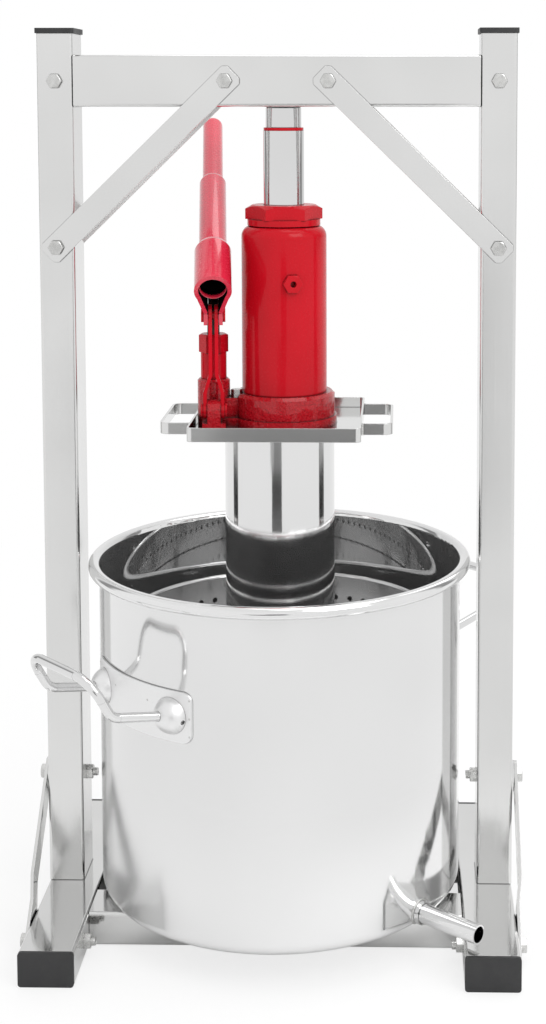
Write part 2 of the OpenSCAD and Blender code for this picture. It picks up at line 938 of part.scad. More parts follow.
// juice pot: drawn steel with a rolled rim and a hole for the spout
module pot() {
    color(c_steel)
        difference() {
            rotate_extrude() {
                difference() {
                    vessel_half(pot_r, pot_z, bead_z, pot_round);
                    vessel_half(pot_in, pot_floor, bead_z + 1, pot_round - pot_wall);
                }
                translate([bead_x, bead_z])
                    difference() {
                        circle(pot_bead);
                        circle(pot_bead - pot_wall);
                        translate([-pot_bead + pot_wall, -2 * pot_bead])
                            square([pot_bead, 2 * pot_bead]);
                    }
            }
            rotate([0, 0, spout_turn])
                translate([0, -pot_r + 2 * pot_round, pot_z + spout_z])
                    rotate([90, 0, 0])
                        cylinder(r = spout_bore, h = 4 * pot_round);
        }
}

// outlet tube with its weld collar, fitted to the pot's wall
module spout() {
    color(c_steel)
        rotate([0, 0, spout_turn])
            difference() {
                translate([0, 0, pot_z + spout_z])
                    rotate([90, 0, 0]) {
                        translate([0, 0, pot_r - pot_round])
                            cylinder(r = spout_r, h = pot_round + spout_len);
                        translate([0, 0, pot_r - pot_round])
                            cylinder(r = spout_collar_r, h = pot_round + spout_collar_len);
                    }
                translate([0, 0, pot_z + spout_z])
                    rotate([90, 0, 0])
                        cylinder(r = spout_bore, h = big);
                rotate_extrude()
                    vessel_half(pot_r + seam_gap, pot_z - seam_gap, bead_z, pot_round + seam_gap);
            }
}

// runs the handle's outward direction to the left front and the right rear
module at_handle(side) {
    rotate([0, 0, -90 - pot_handle_turn + (side > 0 ? 180 : 0)])
        translate([0, 0, pot_z + pot_handle_z])
            children();
}

// rod straight out of its boss, used to bore the boss as well
module rod_ends(r) {
    for (y = [-pot_handle_half, pot_handle_half])
        translate([rod_start, y, 0])
            rotate([0, 90 - pot_rod_rise, 0])
                cylinder(r = r, h = pot_rod_out + 1);
}

// curved plate with two domed bosses that hold the rod
module handle_plate(side) {
    skin = pot_r + seam_gap;
    w = handle_plate_w;
    h = handle_plate_h;
    ball = (pow(handle_dome_r, 2) + pow(handle_dome_h, 2)) / (2 * handle_dome_h);
    at_handle(side)
        difference() {
            union() {
                intersection() {
                    cylinder(r = skin + handle_plate_t, h = h + 2, center = true);
                    rotate([90, 0, 90])
                        linear_extrude(2 * pot_r)
                            round_rect(w, h, handle_plate_round);
                }
                for (y = [-1, 1])
                    rotate([0, 0, y * asin(pot_handle_half / pot_r)])
                        translate([pot_r + handle_dome_h - ball, 0, 0])
                            sphere(ball);
            }
            cylinder(r = skin, h = 4 * h, center = true);
            rod_ends(pot_rod_r + seam_gap);
        }
}

module handle_plate_left() {
    color(c_steel)
        handle_plate(-1);
}

module handle_plate_right() {
    color(c_steel)
        handle_plate(1);
}

// bent rod: two arms, two upward bends and an upturned loop
module pot_handle(side) {
    r = pot_rod_r;
    e1 = pot_rod_rise;
    e2 = pot_rod_slope;
    ax = rod_start + pot_rod_out * cos(e1);
    az = pot_rod_out * sin(e1);
    cx = ax - pot_bend_r * sin(e1);
    cz = az + pot_bend_r * cos(e1);
    bx = cx + pot_bend_r * sin(e2);
    bz = cz - pot_bend_r * cos(e2);
    at_handle(side) {
        rod_ends(r);
        for (y = [-pot_handle_half, pot_handle_half]) {
            translate([cx, y, cz])
                rotate([90, 0, 0])
                    rotate([0, 0, e1 - 90])
                        rotate_extrude(angle = e2 - e1)
                            translate([pot_bend_r, 0])
                                circle(r - pot_rod_thin);
            translate([bx - cos(e2), y, bz - sin(e2)])
                rotate([0, 90 - e2, 0])
                    cylinder(r = r, h = pot_rod_side + 2);
        }
        translate([bx + pot_rod_side * cos(e2), 0, bz + pot_rod_side * sin(e2)])
            rotate([0, -e2, 0]) {
                for (m = [0, 1])
                    mirror([0, m, 0])
                        translate([0, pot_handle_half - pot_rod_corner, 0])
                            rotate_extrude(angle = 90)
                                translate([pot_rod_corner, 0])
                                    circle(r - pot_rod_thin);
                translate([pot_rod_corner, 0, 0])
                    rotate([90, 0, 0])
                        cylinder(r = r, h = 2 * (pot_handle_half - pot_rod_corner + 1), center = true);
            }
    }
}

module pot_handle_left() {
    color(c_steel)
        pot_handle(-1);
}

module pot_handle_right() {
    color(c_steel)
        pot_handle(1);
}

// strainer wall with a wired rim, rows of holes and drain notches
module basket() {
    color(c_steel)
        difference() {
            rotate_extrude() {
                translate([basket_in, pot_floor])
                    square([basket_wall_t, basket_h - basket_bead]);
                translate([basket_in + basket_bead, basket_top - basket_bead])
                    circle(basket_bead);
            }
            for (i = [0 : basket_rows - 1])
                for (k = [0 : basket_holes - 1])
                    rotate([0, 0, (k + 0.5 * (i % 2)) * 360 / basket_holes])
                        translate([basket_r + 2, 0, basket_top - basket_row_first - i * basket_row_step])
                            rotate([0, -90, 0])
                                cylinder(r = basket_hole_r, h = basket_wall_t + 4);
            for (k = [0 : 7])
                rotate([0, 0, k * 45])
                    translate([basket_r, 0, pot_floor])
                        cube([8 * basket_wall_t, basket_notch_w, 2 * basket_notch_h], center = true);
        }
}

// strainer floor, welded inside the basket above the notches
module basket_floor() {
    color(c_steel)
        translate([0, 0, pot_floor + basket_lift])
            difference() {
                cylinder(r = basket_in - seam_gap, h = basket_floor_t);
                for (ring = [1 : 3])
                    for (k = [0 : 6 * ring - 1])
                        rotate([0, 0, k * 60 / ring])
                            translate([ring * basket_ring_step, 0, -1])
                                cylinder(r = basket_hole_r, h = basket_floor_t + 2);
            }
}

// round plate that presses the fruit, with a rounded lower edge
module press_plate() {
    e = plate_t / 3;
    color(c_steel)
        rotate_extrude() {
            translate([0, plate_top - plate_t])
                square([plate_r - e, plate_t]);
            translate([0, plate_top - plate_t + e])
                square([plate_r, plate_t - e]);
            translate([plate_r - e, plate_top - plate_t + e])
                circle(e);
        }
}

// polished tube between the plate and the tray
module column() {
    color(c_steel)
        translate([0, 0, plate_top])
            difference() {
                cylinder(r = column_r, h = column_len);
                translate([0, 0, -1])
                    cylinder(r = column_r - column_wall, h = column_len + 2);
            }
}

// shallow pan that the jack stands in
module tray() {
    color(c_steel)
        translate([0, 0, tray_z])
            difference() {
                linear_extrude(tray_h)
                    round_rect(tray_w, tray_d, tray_round);
                translate([0, 0, tray_floor_t])
                    linear_extrude(tray_h)
                        round_rect(tray_w - 2 * tray_wall, tray_d - 2 * tray_wall, tray_round - tray_wall);
            }
}

// strip bent to a loop and welded to the tray's side
module tray_handle(side) {
    t = tray_strip_t;
    translate([side * tray_w / 2, 0, tray_z + (tray_h - tray_strip_h) / 2])
        linear_extrude(tray_strip_h)
            difference() {
                round_rect(2 * tray_handle_out, tray_handle_len, tray_strip_round);
                round_rect(2 * (tray_handle_out - t), tray_handle_len - 2 * t, tray_strip_round - t);
                translate([-side * tray_handle_out, 0])
                    square([2 * tray_handle_out, 2 * tray_handle_len], center = true);
            }
}

module tray_handle_left() {
    color(c_steel)
        tray_handle(-1);
}

module tray_handle_right() {
    color(c_steel)
        tray_handle(1);
}

// puts a jack part, built round the ram's axis, in its place on the tray
module at_jack() {
    translate([jack_x, 0, 0])
        rotate([0, 0, jack_turn])
            children();
}

// profile in the lever's plane, made a plate that spans x0 to x1
module side_plate(x0, x1) {
    translate([x0, 0, 0])
        rotate([90, 0, 90])
            linear_extrude(x1 - x0)
                children();
}

// round bar along x at a point of the lever's plane
module x_bar(y, z, r, x0, x1) {
    translate([x0, y, z])
        rotate([0, 90, 0])
            cylinder(r = r, h = x1 - x0);
}

// cast base with the tank's boss, the pump's boss, the lug and the valve's boss
module jack_base() {
    x = -pump_x;
    f = base_flange_t;
    w = lug_w / 2;
    color(c_red)
        at_jack()
            difference() {
                union() {
                    translate([0, 0, jack_z])
                        cylinder(r = base_r + base_flange_out, h = f);
                    translate([0, 0, jack_z])
                        cylinder(r = base_r, h = base_h - base_bevel);
                    translate([0, 0, base_top - base_bevel])
                        cylinder(r1 = base_r, r2 = base_r - base_bevel, h = base_bevel);
                    translate([x, pump_y - pump_boss_r, jack_z])
                        cube([pump_x, 2 * pump_boss_r, f]);
                    translate([x, pump_y - pump_boss_r + web_in, jack_z])
                        cube([pump_x, 2 * (pump_boss_r - web_in), base_h - check_drop]);
                    translate([x, pump_y, jack_z])
                        cylinder(r = pump_boss_r, h = pump_boss_h - pump_bevel);
                    translate([x, pump_y, boss_top - pump_bevel])
                        cylinder(r1 = pump_boss_r, r2 = pump_boss_r - pump_bevel, h = pump_bevel);
                    translate([x - w - lug_shelf, lug_y - lug_r, jack_z])
                        cube([lug_w + 2 * lug_shelf, pump_y - lug_y + lug_r, lug_z - lug_r - lug_under]);
                    side_plate(x - w, x + w)
                        polygon([
                            [lug_y - lug_r, jack_z],
                            [lug_y - lug_r, lug_pin_z],
                            [lug_y + lug_r, lug_pin_z],
                            [lug_y + lug_r + lug_slope, jack_z]
                        ]);
                    x_bar(lug_y, lug_pin_z, lug_r, x - w, x + w);
                    translate([-valve_x, valve_face_y, jack_z + valve_z])
                        rotate([90, 0, 0])
                            cylinder(r = valve_boss_r, h = valve_face_y - pump_y);
                    translate([-valve_x - valve_boss_r, pump_y, jack_z])
                        cube([2 * valve_boss_r, valve_face_y - pump_y, valve_z]);
                }
                translate([0, 0, base_top - cyl_seat])
                    cylinder(r = cyl_r + seam_gap, h = cyl_seat + 1);
                translate([x, pump_y, boss_top - pump_seat])
                    cylinder(r = pump_r + seam_gap, h = pump_seat + 1);
                x_bar(lug_y, lug_pin_z, pin_r + run_gap, x - lug_w, x + lug_w);
                translate([-valve_x, valve_face_y + 1, jack_z + valve_z])
                    rotate([90, 0, 0])
                        cylinder(r = valve_r + run_gap, h = valve_len + 2);
                translate([check_x, check_y, base_top - check_drop]) {
                    cylinder(r = check_face_r, h = check_drop + check_h);
                    translate([0, 0, -check_len - check_clear])
                        cylinder(r = check_r + seam_gap, h = check_len + check_clear + 1);
                }
            }
}

// bright hexagon plug over the check valve
module check_plug() {
    color(c_bolt)
        at_jack()
            translate([check_x, check_y, base_top - check_drop]) {
                hex(check_af, check_h);
                translate([0, 0, -check_len])
                    cylinder(r = check_r, h = check_len + 1);
            }
}

// half profile of the oil tank, cut back by t
module tank_half(t) {
    e = tank_round;
    square([tank_r - t, tank_h - e]);
    translate([tank_r - e, tank_h - e])
        circle(e - t);
    square([tank_r - e, tank_h - t]);
}

// pressed steel tank with round shoulders and a hole for the filler plug
module oil_tank() {
    color(c_red)
        at_jack()
            difference() {
                translate([0, 0, base_top])
                    rotate_extrude()
                        difference() {
                            tank_half(0);
                            translate([0, -1])
                                tank_half(tank_wall);
                            square([cap_bore + seam_gap, 2 * tank_h]);
                        }
                translate([0, 0, jack_z + plug_z])
                    rotate([90, 0, plug_turn])
                        cylinder(r = plug_r + seam_gap, h = 2 * tank_r);
            }
}

// honed tube that the piston runs in
module pressure_cylinder() {
    low = base_top - cyl_seat;
    color(c_bolt)
        at_jack()
            translate([0, 0, low])
                difference() {
                    cylinder(r = cyl_r, h = tank_top - cap_spigot - low);
                    translate([0, 0, -1])
                        cylinder(r = cyl_bore, h = tank_h + 2 * base_h);
                }
}

// nut that closes the tank and guides the ram
module cap_nut() {
    color(c_red)
        at_jack()
            difference() {
                union() {
                    translate([0, 0, tank_top - cap_spigot])
                        cylinder(r = cap_bore, h = cap_spigot + 1);
                    translate([0, 0, tank_top])
                        cylinder(r = cap_collar_r, h = cap_collar_h);
                    translate([0, 0, cap_z])
                        hex(cap_af, cap_hex_h);
                }
                translate([0, 0, tank_top - 2 * cap_spigot])
                    cylinder(r = ram_r + run_gap, h = 4 * cap_spigot + 2 * cap_hex_h);
            }
}

// hexagon plug in the tank's front, bored through its head
module filler_plug() {
    color(c_red)
        at_jack()
            translate([0, 0, jack_z + plug_z])
                rotate([90, 0, plug_turn])
                    difference() {
                        union() {
                            translate([0, 0, tank_r - tank_wall - 2])
                                cylinder(r = plug_r, h = tank_wall + 4);
                            translate([0, 0, tank_r + seam_gap])
                                hex(plug_af, plug_head_h);
                        }
                        translate([0, 0, tank_r - tank_wall])
                            cylinder(r = plug_hole_r, h = 2 * (tank_wall + plug_head_h));
                    }
}

// pump cylinder with its gland nut
module pump_cylinder() {
    color(c_red)
        at_jack()
            translate([-pump_x, pump_y, 0])
                difference() {
                    union() {
                        translate([0, 0, boss_top - pump_seat])
                            cylinder(r = pump_r, h = pump_seat + pump_h);
                        translate([0, 0, gland_z])
                            hex(gland_af, gland_h);
                    }
                    translate([0, 0, boss_top - pump_seat + pump_floor])
                        cylinder(r = plunger_r + run_gap, h = big);
                }
}

// plunger with an eye; the slot lets the lever's pin swing through its arc
module pump_plunger() {
    w = eye_w / 2;
    color(c_chrome)
        at_jack()
            translate([-pump_x, 0, 0])
                difference() {
                    union() {
                        translate([0, pump_y, gland_top - plunger_deep])
                            cylinder(r = plunger_r, h = eye_z - gland_top + plunger_deep);
                        x_bar(pump_y, eye_z, eye_r, -w, w);
                    }
                    for (y = [-eye_play, eye_play])
                        x_bar(pump_y + y, eye_z, pin_r + run_gap, -2 * w, 2 * w);
                    side_plate(-2 * w, 2 * w)
                        translate([pump_y, eye_z])
                            square([2 * eye_play, 2 * (pin_r + run_gap)], center = true);
                    for (x = [-1, 1])
                        translate([x * eye_w, pump_y, eye_z])
                            cube([eye_w, 4 * eye_r, 2 * eye_r + 4], center = true);
                }
}

// bright rod with a threaded bore for the extension screw
module ram() {
    color(c_chrome)
        at_jack()
            difference() {
                translate([0, 0, ram_low])
                    cylinder(r = ram_r, h = ram_len);
                translate([0, 0, ram_top - screw_len - 2])
                    cylinder(r = screw_r + run_gap, h = screw_len + 10);
            }
}

// piston on the ram's lower end, with a groove for the seal
module ram_piston() {
    color(c_bolt)
        at_jack()
            translate([0, 0, ram_low - piston_h])
                difference() {
                    cylinder(r = piston_r, h = piston_h);
                    translate([0, 0, (piston_h - seal_h) / 2])
                        difference() {
                            cylinder(r = 2 * piston_r, h = seal_h);
                            translate([0, 0, -1])
                                cylinder(r = piston_r - seal_depth, h = seal_h + 2);
                        }
                }
}

module piston_seal() {
    color(c_black)
        at_jack()
            translate([0, 0, ram_low - piston_h + (piston_h - seal_h) / 2 + seam_gap])
                difference() {
                    cylinder(r = piston_r + seam_gap, h = seal_h - 2 * seam_gap);
                    translate([0, 0, -1])
                        cylinder(r = piston_r - seal_depth + seam_gap, h = seal_h + 2);
                }
}

// painted ring that wipes the ram's top
module ram_ring() {
    color(c_red)
        at_jack()
            translate([0, 0, ram_top])
                difference() {
                    cylinder(r = ram_r - ram_ring_in, h = ram_ring_h);
                    translate([0, 0, -1])
                        cylinder(r = screw_r + run_gap, h = ram_ring_h + 2);
                }
}

// extension screw: a round head with a dished top on a shank in the ram
module extension_screw() {
    z = screw_top - screw_head_h;
    dish_r = screw_head_r - screw_land;
    color(c_chrome)
        at_jack()
            difference() {
                union() {
                    translate([0, 0, z])
                        cylinder(r = screw_head_r, h = screw_head_h - screw_bevel);
                    translate([0, 0, screw_top - screw_bevel])
                        cylinder(r1 = screw_head_r, r2 = screw_head_r - screw_bevel, h = screw_bevel);
                    translate([0, 0, z - screw_len])
                        cylinder(r = screw_r, h = screw_len + 1);
                }
                translate([0, 0, screw_top - screw_dish])
                    cylinder(r1 = dish_r - screw_dish, r2 = dish_r + 1, h = screw_dish + 1);
            }
}

// strap between the lug and the socket, set out at its lower end to span the lug
module link_strap(side) {
    a = link_gap_top / 2;
    t = link_t;
    z1 = lug_pin_z + link_fork;
    z2 = z1 + link_joggle;
    low = lug_pin_z - 2 * link_half;
    high = ful_z + 2 * link_half;
    lean = atan2(lug_front, ful_z - lug_pin_z);
    run = norm([lug_front, ful_z - lug_pin_z]);
    at_jack()
        translate([-pump_x, 0, 0])
            difference() {
                intersection() {
                    translate([0, ful_y, 0])
                        rotate([90, 0, 0])
                            linear_extrude(8 * link_half, center = true)
                                mirror([side < 0 ? 1 : 0, 0])
                                    polygon([
                                        [fork_in, low], [fork_in + t, low],
                                        [fork_in + t, z1], [a + t, z2],
                                        [a + t, high], [a, high],
                                        [a, z2], [fork_in, z1]
                                    ]);
                    union() {
                        x_bar(lug_y, lug_pin_z, link_half, -pack, pack);
                        translate([0, lug_y, lug_pin_z])
                            rotate([-lean, 0, 0]) {
                                translate([-pack, -link_waist, 0])
                                    cube([2 * pack, 2 * link_waist, run]);
                                x_bar(0, run + link_nose, link_half, -pack, pack);
                            }
                    }
                }
                x_bar(lug_y, lug_pin_z, pin_r + seam_gap, -pack, pack);
                x_bar(ful_y, ful_z, pin_r + run_gap, -pack, pack);
            }
}

module link_strap_left() {
    color(c_red)
        link_strap(-1);
}

module link_strap_right() {
    color(c_red)
        link_strap(1);
}

// headed pin along x through a pack of the given half width
module pin(y, z, half) {
    at_jack()
        translate([-pump_x, 0, 0]) {
            x_bar(y, z, pin_r, -half - pin_head_t, half + pin_head_t);
            x_bar(y, z, pin_head_r, half, half + pin_head_t);
            x_bar(y, z, pin_head_r, -half - pin_head_t, -half);
        }
}

module link_pin() {
    color(c_bolt)
        pin(lug_y, lug_pin_z, fork_in + link_t);
}

module fulcrum_pin() {
    color(c_bolt)
        pin(ful_y, ful_z, ear_gap / 2 + ear_t);
}

module pump_pin() {
    color(c_bolt)
        pin(pump_y, eye_z, ear_gap / 2 + ear_t);
}

// puts a part on the handle's axis, z running from the socket's front end to the back
module at_handle_axis() {
    at_jack()
        translate([-pump_x, mouth_y, mouth_z])
            rotate([handle_rise - 90, 0, 0])
                children();
}

// bearing at which a line from (x, y) touches a circle round the origin
function touch(r, x, y) = atan2(y, x) - acos(r / norm([x, y]));

// 2-D section of a sheet rolled round the handle and closed in to the ears
module roll(r, x) {
    tuck = roll_tuck * r;
    a = touch(tuck, x, socket_throat);
    p = [tuck * cos(a), tuck * sin(a)];
    circle(r);
    polygon([[-p[0], p[1]], [p[0], p[1]], [x, socket_throat], [-x, socket_throat]]);
}

// rolled socket with two ears that hang down to the pins
module lever_socket() {
    g = ear_gap / 2;
    e = ear_edge;
    p_front = [mouth_y + ear_start * rise_c, mouth_z + ear_start * rise_s];
    back = socket_len - ear_stop;
    p_rear = [mouth_y + back * rise_c, mouth_z + back * rise_s];
    color(c_red)
        difference() {
            union() {
                at_handle_axis() {
                    linear_extrude(socket_len - socket_nose)
                        roll(socket_r, g + ear_t);
                    translate([0, 0, socket_len - socket_nose - 1])
                        cylinder(
                            r1 = socket_r - socket_step, r2 = socket_bore + socket_lip,
                            h = socket_nose + 1
                        );
                }
                at_jack()
                    translate([-pump_x, 0, 0])
                        side_plate(-g - ear_t, g + ear_t)
                            polygon([
                                p_front,
                                [ful_y - e, ful_z + ear_brow], [ful_y - e + ear_clip, ful_z - e],
                                [pump_y + e - ear_heel, eye_z - ear_low], [pump_y + e, eye_z],
                                p_rear
                            ]);
            }
            at_handle_axis() {
                translate([0, 0, -1])
                    linear_extrude(socket_len + 2)
                        roll(socket_bore, g);
                translate([-g, socket_throat - 1, -socket_len])
                    cube([2 * g, 4 * socket_drop, 3 * socket_len]);
            }
            at_jack()
                translate([-pump_x, 0, 0]) {
                    x_bar(ful_y, ful_z, pin_r + seam_gap, -pack, pack);
                    x_bar(pump_y, eye_z, pin_r + seam_gap, -pack, pack);
                }
        }
}

// thick lower half of the pump handle
module handle_lower() {
    len = handle_end1 - handle_in;
    bore = handle_r1 - handle_wall1;
    color(c_red)
        at_handle_axis()
            translate([0, 0, handle_in])
                difference() {
                    union() {
                        cylinder(r = handle_r1, h = len - handle_nose);
                        translate([0, 0, len - handle_nose])
                            cylinder(r1 = handle_r1, r2 = bore + handle_lip, h = handle_nose);
                    }
                    translate([0, 0, -1])
                        cylinder(r = bore, h = len + 2);
                    cylinder(r1 = handle_r1 - handle_lip, r2 = bore, h = handle_flare);
                }
}

// thin upper half with a closed round end
module handle_upper() {
    color(c_red)
        at_handle_axis()
            difference() {
                union() {
                    translate([0, 0, handle_end1 - handle_lap])
                        cylinder(r = handle_r2, h = handle_end2 - handle_end1 + handle_lap);
                    translate([0, 0, handle_end2])
                        sphere(handle_r2);
                }
                translate([0, 0, handle_end1 - handle_lap - 1])
                    cylinder(r = handle_r2 - handle_wall2, h = handle_end2 - handle_end1 + handle_lap);
            }
}

// screw that lets the oil back, with a slotted knob at the rear
module release_valve() {
    color(c_bolt)
        at_jack()
            translate([-valve_x, valve_face_y, jack_z + valve_z])
                rotate([-90, 0, 0])
                    difference() {
                        union() {
                            translate([0, 0, -valve_len])
                                cylinder(r = valve_r, h = valve_len + 1);
                            translate([0, 0, run_gap])
                                cylinder(r = valve_knob_r, h = valve_knob_len);
                        }
                        translate([0, 0, valve_knob_len])
                            cube([valve_slot_w, 4 * valve_knob_r, 2 * valve_slot], center = true);
                    }
}

foot_left();
foot_right();
foot_caps();
cross_tube_front();
cross_tube_rear();
post_left();
post_right();
post_stubs();
post_caps();
top_beam();
brace_front_left();
brace_front_right();
brace_rear_left();
brace_rear_right();
strap_left_front();
strap_left_rear();
strap_right_front();
strap_right_rear();
base_bolts();
strap_foot_bolts();
strap_post_bolts();
brace_bolts();
beam_bolts();
pot();
spout();
handle_plate_left();
handle_plate_right();
pot_handle_left();
pot_handle_right();
basket();
basket_floor();
press_plate();
column();
tray();
tray_handle_left();
tray_handle_right();
jack_base();
oil_tank();
pressure_cylinder();
cap_nut();
filler_plug();
pump_cylinder();
check_plug();
ram();
ram_piston();
piston_seal();
ram_ring();
extension_screw();
link_strap_left();
link_strap_right();
link_pin();
lever_socket();
fulcrum_pin();
pump_pin();
handle_lower();
handle_upper();
pump_plunger();
release_valve();
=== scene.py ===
import math

import bmesh
import bpy
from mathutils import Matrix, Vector


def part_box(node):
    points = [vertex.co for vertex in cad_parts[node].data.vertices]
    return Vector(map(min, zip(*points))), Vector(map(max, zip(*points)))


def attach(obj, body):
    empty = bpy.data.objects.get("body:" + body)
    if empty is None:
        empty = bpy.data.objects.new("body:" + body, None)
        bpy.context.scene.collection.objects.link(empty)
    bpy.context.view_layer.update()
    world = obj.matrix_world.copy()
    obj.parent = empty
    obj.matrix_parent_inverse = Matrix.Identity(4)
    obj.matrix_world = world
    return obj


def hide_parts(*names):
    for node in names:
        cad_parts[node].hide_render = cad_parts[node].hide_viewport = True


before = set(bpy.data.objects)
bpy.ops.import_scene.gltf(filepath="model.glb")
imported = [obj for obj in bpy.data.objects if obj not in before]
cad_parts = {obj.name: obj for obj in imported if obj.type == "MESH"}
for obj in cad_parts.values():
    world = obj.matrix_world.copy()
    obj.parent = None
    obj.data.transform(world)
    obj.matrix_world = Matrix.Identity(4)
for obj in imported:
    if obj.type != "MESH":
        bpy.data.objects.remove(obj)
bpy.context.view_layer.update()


# Studio floor: a wide sheet of white paper under the press.
# It shows white to the camera and to polished steel, and keeps a soft shadow.
def wire(tree, source, target):
    tree.links.new(source, target)


def reckon(tree, operation, first, second=0.0):
    """One sum in a finish; a plain number is given as a float."""
    sum_node = tree.nodes.new("ShaderNodeMath")
    sum_node.operation = operation
    for slot, value in ((0, first), (1, second)):
        if isinstance(value, float):
            sum_node.inputs[slot].default_value = value
        else:
            wire(tree, value, sum_node.inputs[slot])
    return sum_node.outputs[0]


def spread(tree, value, low, high, start=0.3, end=0.7, easing="LINEAR"):
    """Goes from low to high while a value goes from start to end."""
    ramp = tree.nodes.new("ShaderNodeMapRange")
    ramp.interpolation_type = easing
    ramp.inputs["From Min"].default_value = start
    ramp.inputs["From Max"].default_value = end
    ramp.inputs["To Min"].default_value = low
    ramp.inputs["To Max"].default_value = high
    wire(tree, value, ramp.inputs["Value"])
    return ramp.outputs[0]


scene = bpy.context.scene
paper_half, paper_front, paper_back, paper_z = 7, -1.75, 9, -0.0004
paper = bpy.data.meshes.new("paper")
paper.from_pydata(
    [(-paper_half, paper_front, paper_z), (paper_half, paper_front, paper_z),
     (paper_half, paper_back, paper_z), (-paper_half, paper_back, paper_z)], [], [(0, 1, 2, 3)])
floor = bpy.data.objects.new("floor", paper)
scene.collection.objects.link(floor)
paper_white = bpy.data.materials.new("paper_white")
paper_white.use_nodes = True
tree = paper_white.node_tree
tree.nodes.clear()
sheet = tree.nodes.new("ShaderNodeBsdfDiffuse")
sheet.inputs["Color"].default_value = (0.92, 0.92, 0.92, 1)
fibre = tree.nodes.new("ShaderNodeTexNoise")
fibre.inputs["Scale"].default_value = 60
fibre_bump = tree.nodes.new("ShaderNodeBump")
fibre_bump.inputs["Strength"].default_value = 0.03
fibre_bump.inputs["Distance"].default_value = 0.0005
wire(tree, fibre.outputs["Fac"], fibre_bump.inputs["Height"])
wire(tree, fibre_bump.outputs["Normal"], sheet.inputs["Normal"])
glow = tree.nodes.new("ShaderNodeEmission")
glow.inputs["Strength"].default_value = 1.0
ray = tree.nodes.new("ShaderNodeLightPath")
paper_place = tree.nodes.new("ShaderNodeTexCoord")
away = tree.nodes.new("ShaderNodeVectorMath")
away.operation = "LENGTH"
wire(tree, paper_place.outputs["Object"], away.inputs[0])
whiteness = []
for kind, under_press, near_r, far_r in (
        ("Is Camera Ray", 0.74, 0.45, 1.5),
        ("Is Glossy Ray", 0.0, 0.25, 0.55)):
    fade = spread(tree, away.outputs["Value"], under_press, 1.0, near_r, far_r, "SMOOTHSTEP")
    whiteness.append(reckon(tree, "MULTIPLY", ray.outputs[kind], fade))
both = tree.nodes.new("ShaderNodeMixShader")
wire(tree, reckon(tree, "MAXIMUM", *whiteness), both.inputs[0])
wire(tree, sheet.outputs[0], both.inputs[1])
wire(tree, glow.outputs[0], both.inputs[2])
out = tree.nodes.new("ShaderNodeOutputMaterial")
wire(tree, both.outputs[0], out.inputs["Surface"])
paper.materials.append(paper_white)

# Studio light: a white room with dark edges at its sides, a key panel and a top panel.
# Grey cards and dark flags behind the camera draw the tray's tone and the streaks on round steel and paint.
room = bpy.data.worlds.new("studio")
scene.world = room
room.use_nodes = True
tree = room.node_tree
tree.nodes.clear()
toward = tree.nodes.new("ShaderNodeTexCoord")
parts = tree.nodes.new("ShaderNodeSeparateXYZ")
wire(tree, toward.outputs["Generated"], parts.inputs[0])
to_camera = reckon(tree, "MULTIPLY", parts.outputs["Y"], -1.0)
bearing = reckon(tree, "ARCTAN2", parts.outputs["X"], to_camera)
half_turn = reckon(tree, "DIVIDE", reckon(tree, "ABSOLUTE", bearing), math.pi)
walls = tree.nodes.new("ShaderNodeValToRGB")
wire(tree, half_turn, walls.inputs[0])
# Each pair is a share of the half turn from the camera's side to the back, and the wall's tone there.
wall_tones = [(0.0, 1.0), (0.59, 1.0), (0.63, 0.28), (0.69, 0.28), (0.73, 0.8), (1.0, 0.95)]
band = walls.color_ramp.elements
for stop, (place, tone) in ((band[0], wall_tones[0]), (band[1], wall_tones[-1])):
    stop.position = place
    stop.color = (tone, tone, tone, 1)
for place, tone in wall_tones[1:-1]:
    band.new(place).color = (tone, tone, tone, 1)
ceiling = tree.nodes.new("ShaderNodeMix")
ceiling.data_type = "RGBA"
ceiling.inputs["B"].default_value = (0.95, 0.95, 0.95, 1)
overhead = spread(tree, parts.outputs["Z"], 0.0, 1.0, start=0.45, end=0.75, easing="SMOOTHSTEP")
wire(tree, overhead, ceiling.inputs["Factor"])
wire(tree, walls.outputs["Color"], ceiling.inputs["A"])
studio_light = tree.nodes.new("ShaderNodeBackground")
wire(tree, ceiling.outputs["Result"], studio_light.inputs["Color"])
white = tree.nodes.new("ShaderNodeBackground")
white.inputs["Color"].default_value = (1, 1, 1, 1)
ray = tree.nodes.new("ShaderNodeLightPath")
seen = tree.nodes.new("ShaderNodeMixShader")
wire(tree, ray.outputs["Is Camera Ray"], seen.inputs[0])
wire(tree, studio_light.outputs[0], seen.inputs[1])
wire(tree, white.outputs[0], seen.inputs[2])
out = tree.nodes.new("ShaderNodeOutputWorld")
wire(tree, seen.outputs[0], out.inputs["Surface"])
for name, place, aim, size, watts in [
        ("key_panel", (1.3, -1.5, 1.9), (0, 0, 0.4), 1.3, 18),
        ("top_panel", (0.5, 0.2, 2.6), (0, 0, 0.3), 1.6, 14)]:
    lamp = bpy.data.lights.new(name, "AREA")
    lamp.size, lamp.energy = size, watts
    lamp_object = bpy.data.objects.new(name, lamp)
    lamp_object.location = place
    lamp_object.rotation_euler = (Vector(aim) - Vector(place)).to_track_quat("-Z", "Y").to_euler()
    scene.collection.objects.link(lamp_object)
pale, grey, dark = 0.60, 0.38, 0.11
card_y, card_left, card_middle, card_right = -1.8, -0.50, -0.25, 0.24
card_foot, card_top = 0.06, 0.32
flag_left, tank_flag_left, tank_flag_top = -0.39, -0.14, 0.50
runner_left, runner_right, runner_y, runner_z = -0.34, 0.21, -1.48, 0.001


def upright(left, right, foot, top):
    return [(left, card_y, foot), (right, card_y, foot), (right, card_y, top), (left, card_y, top)]


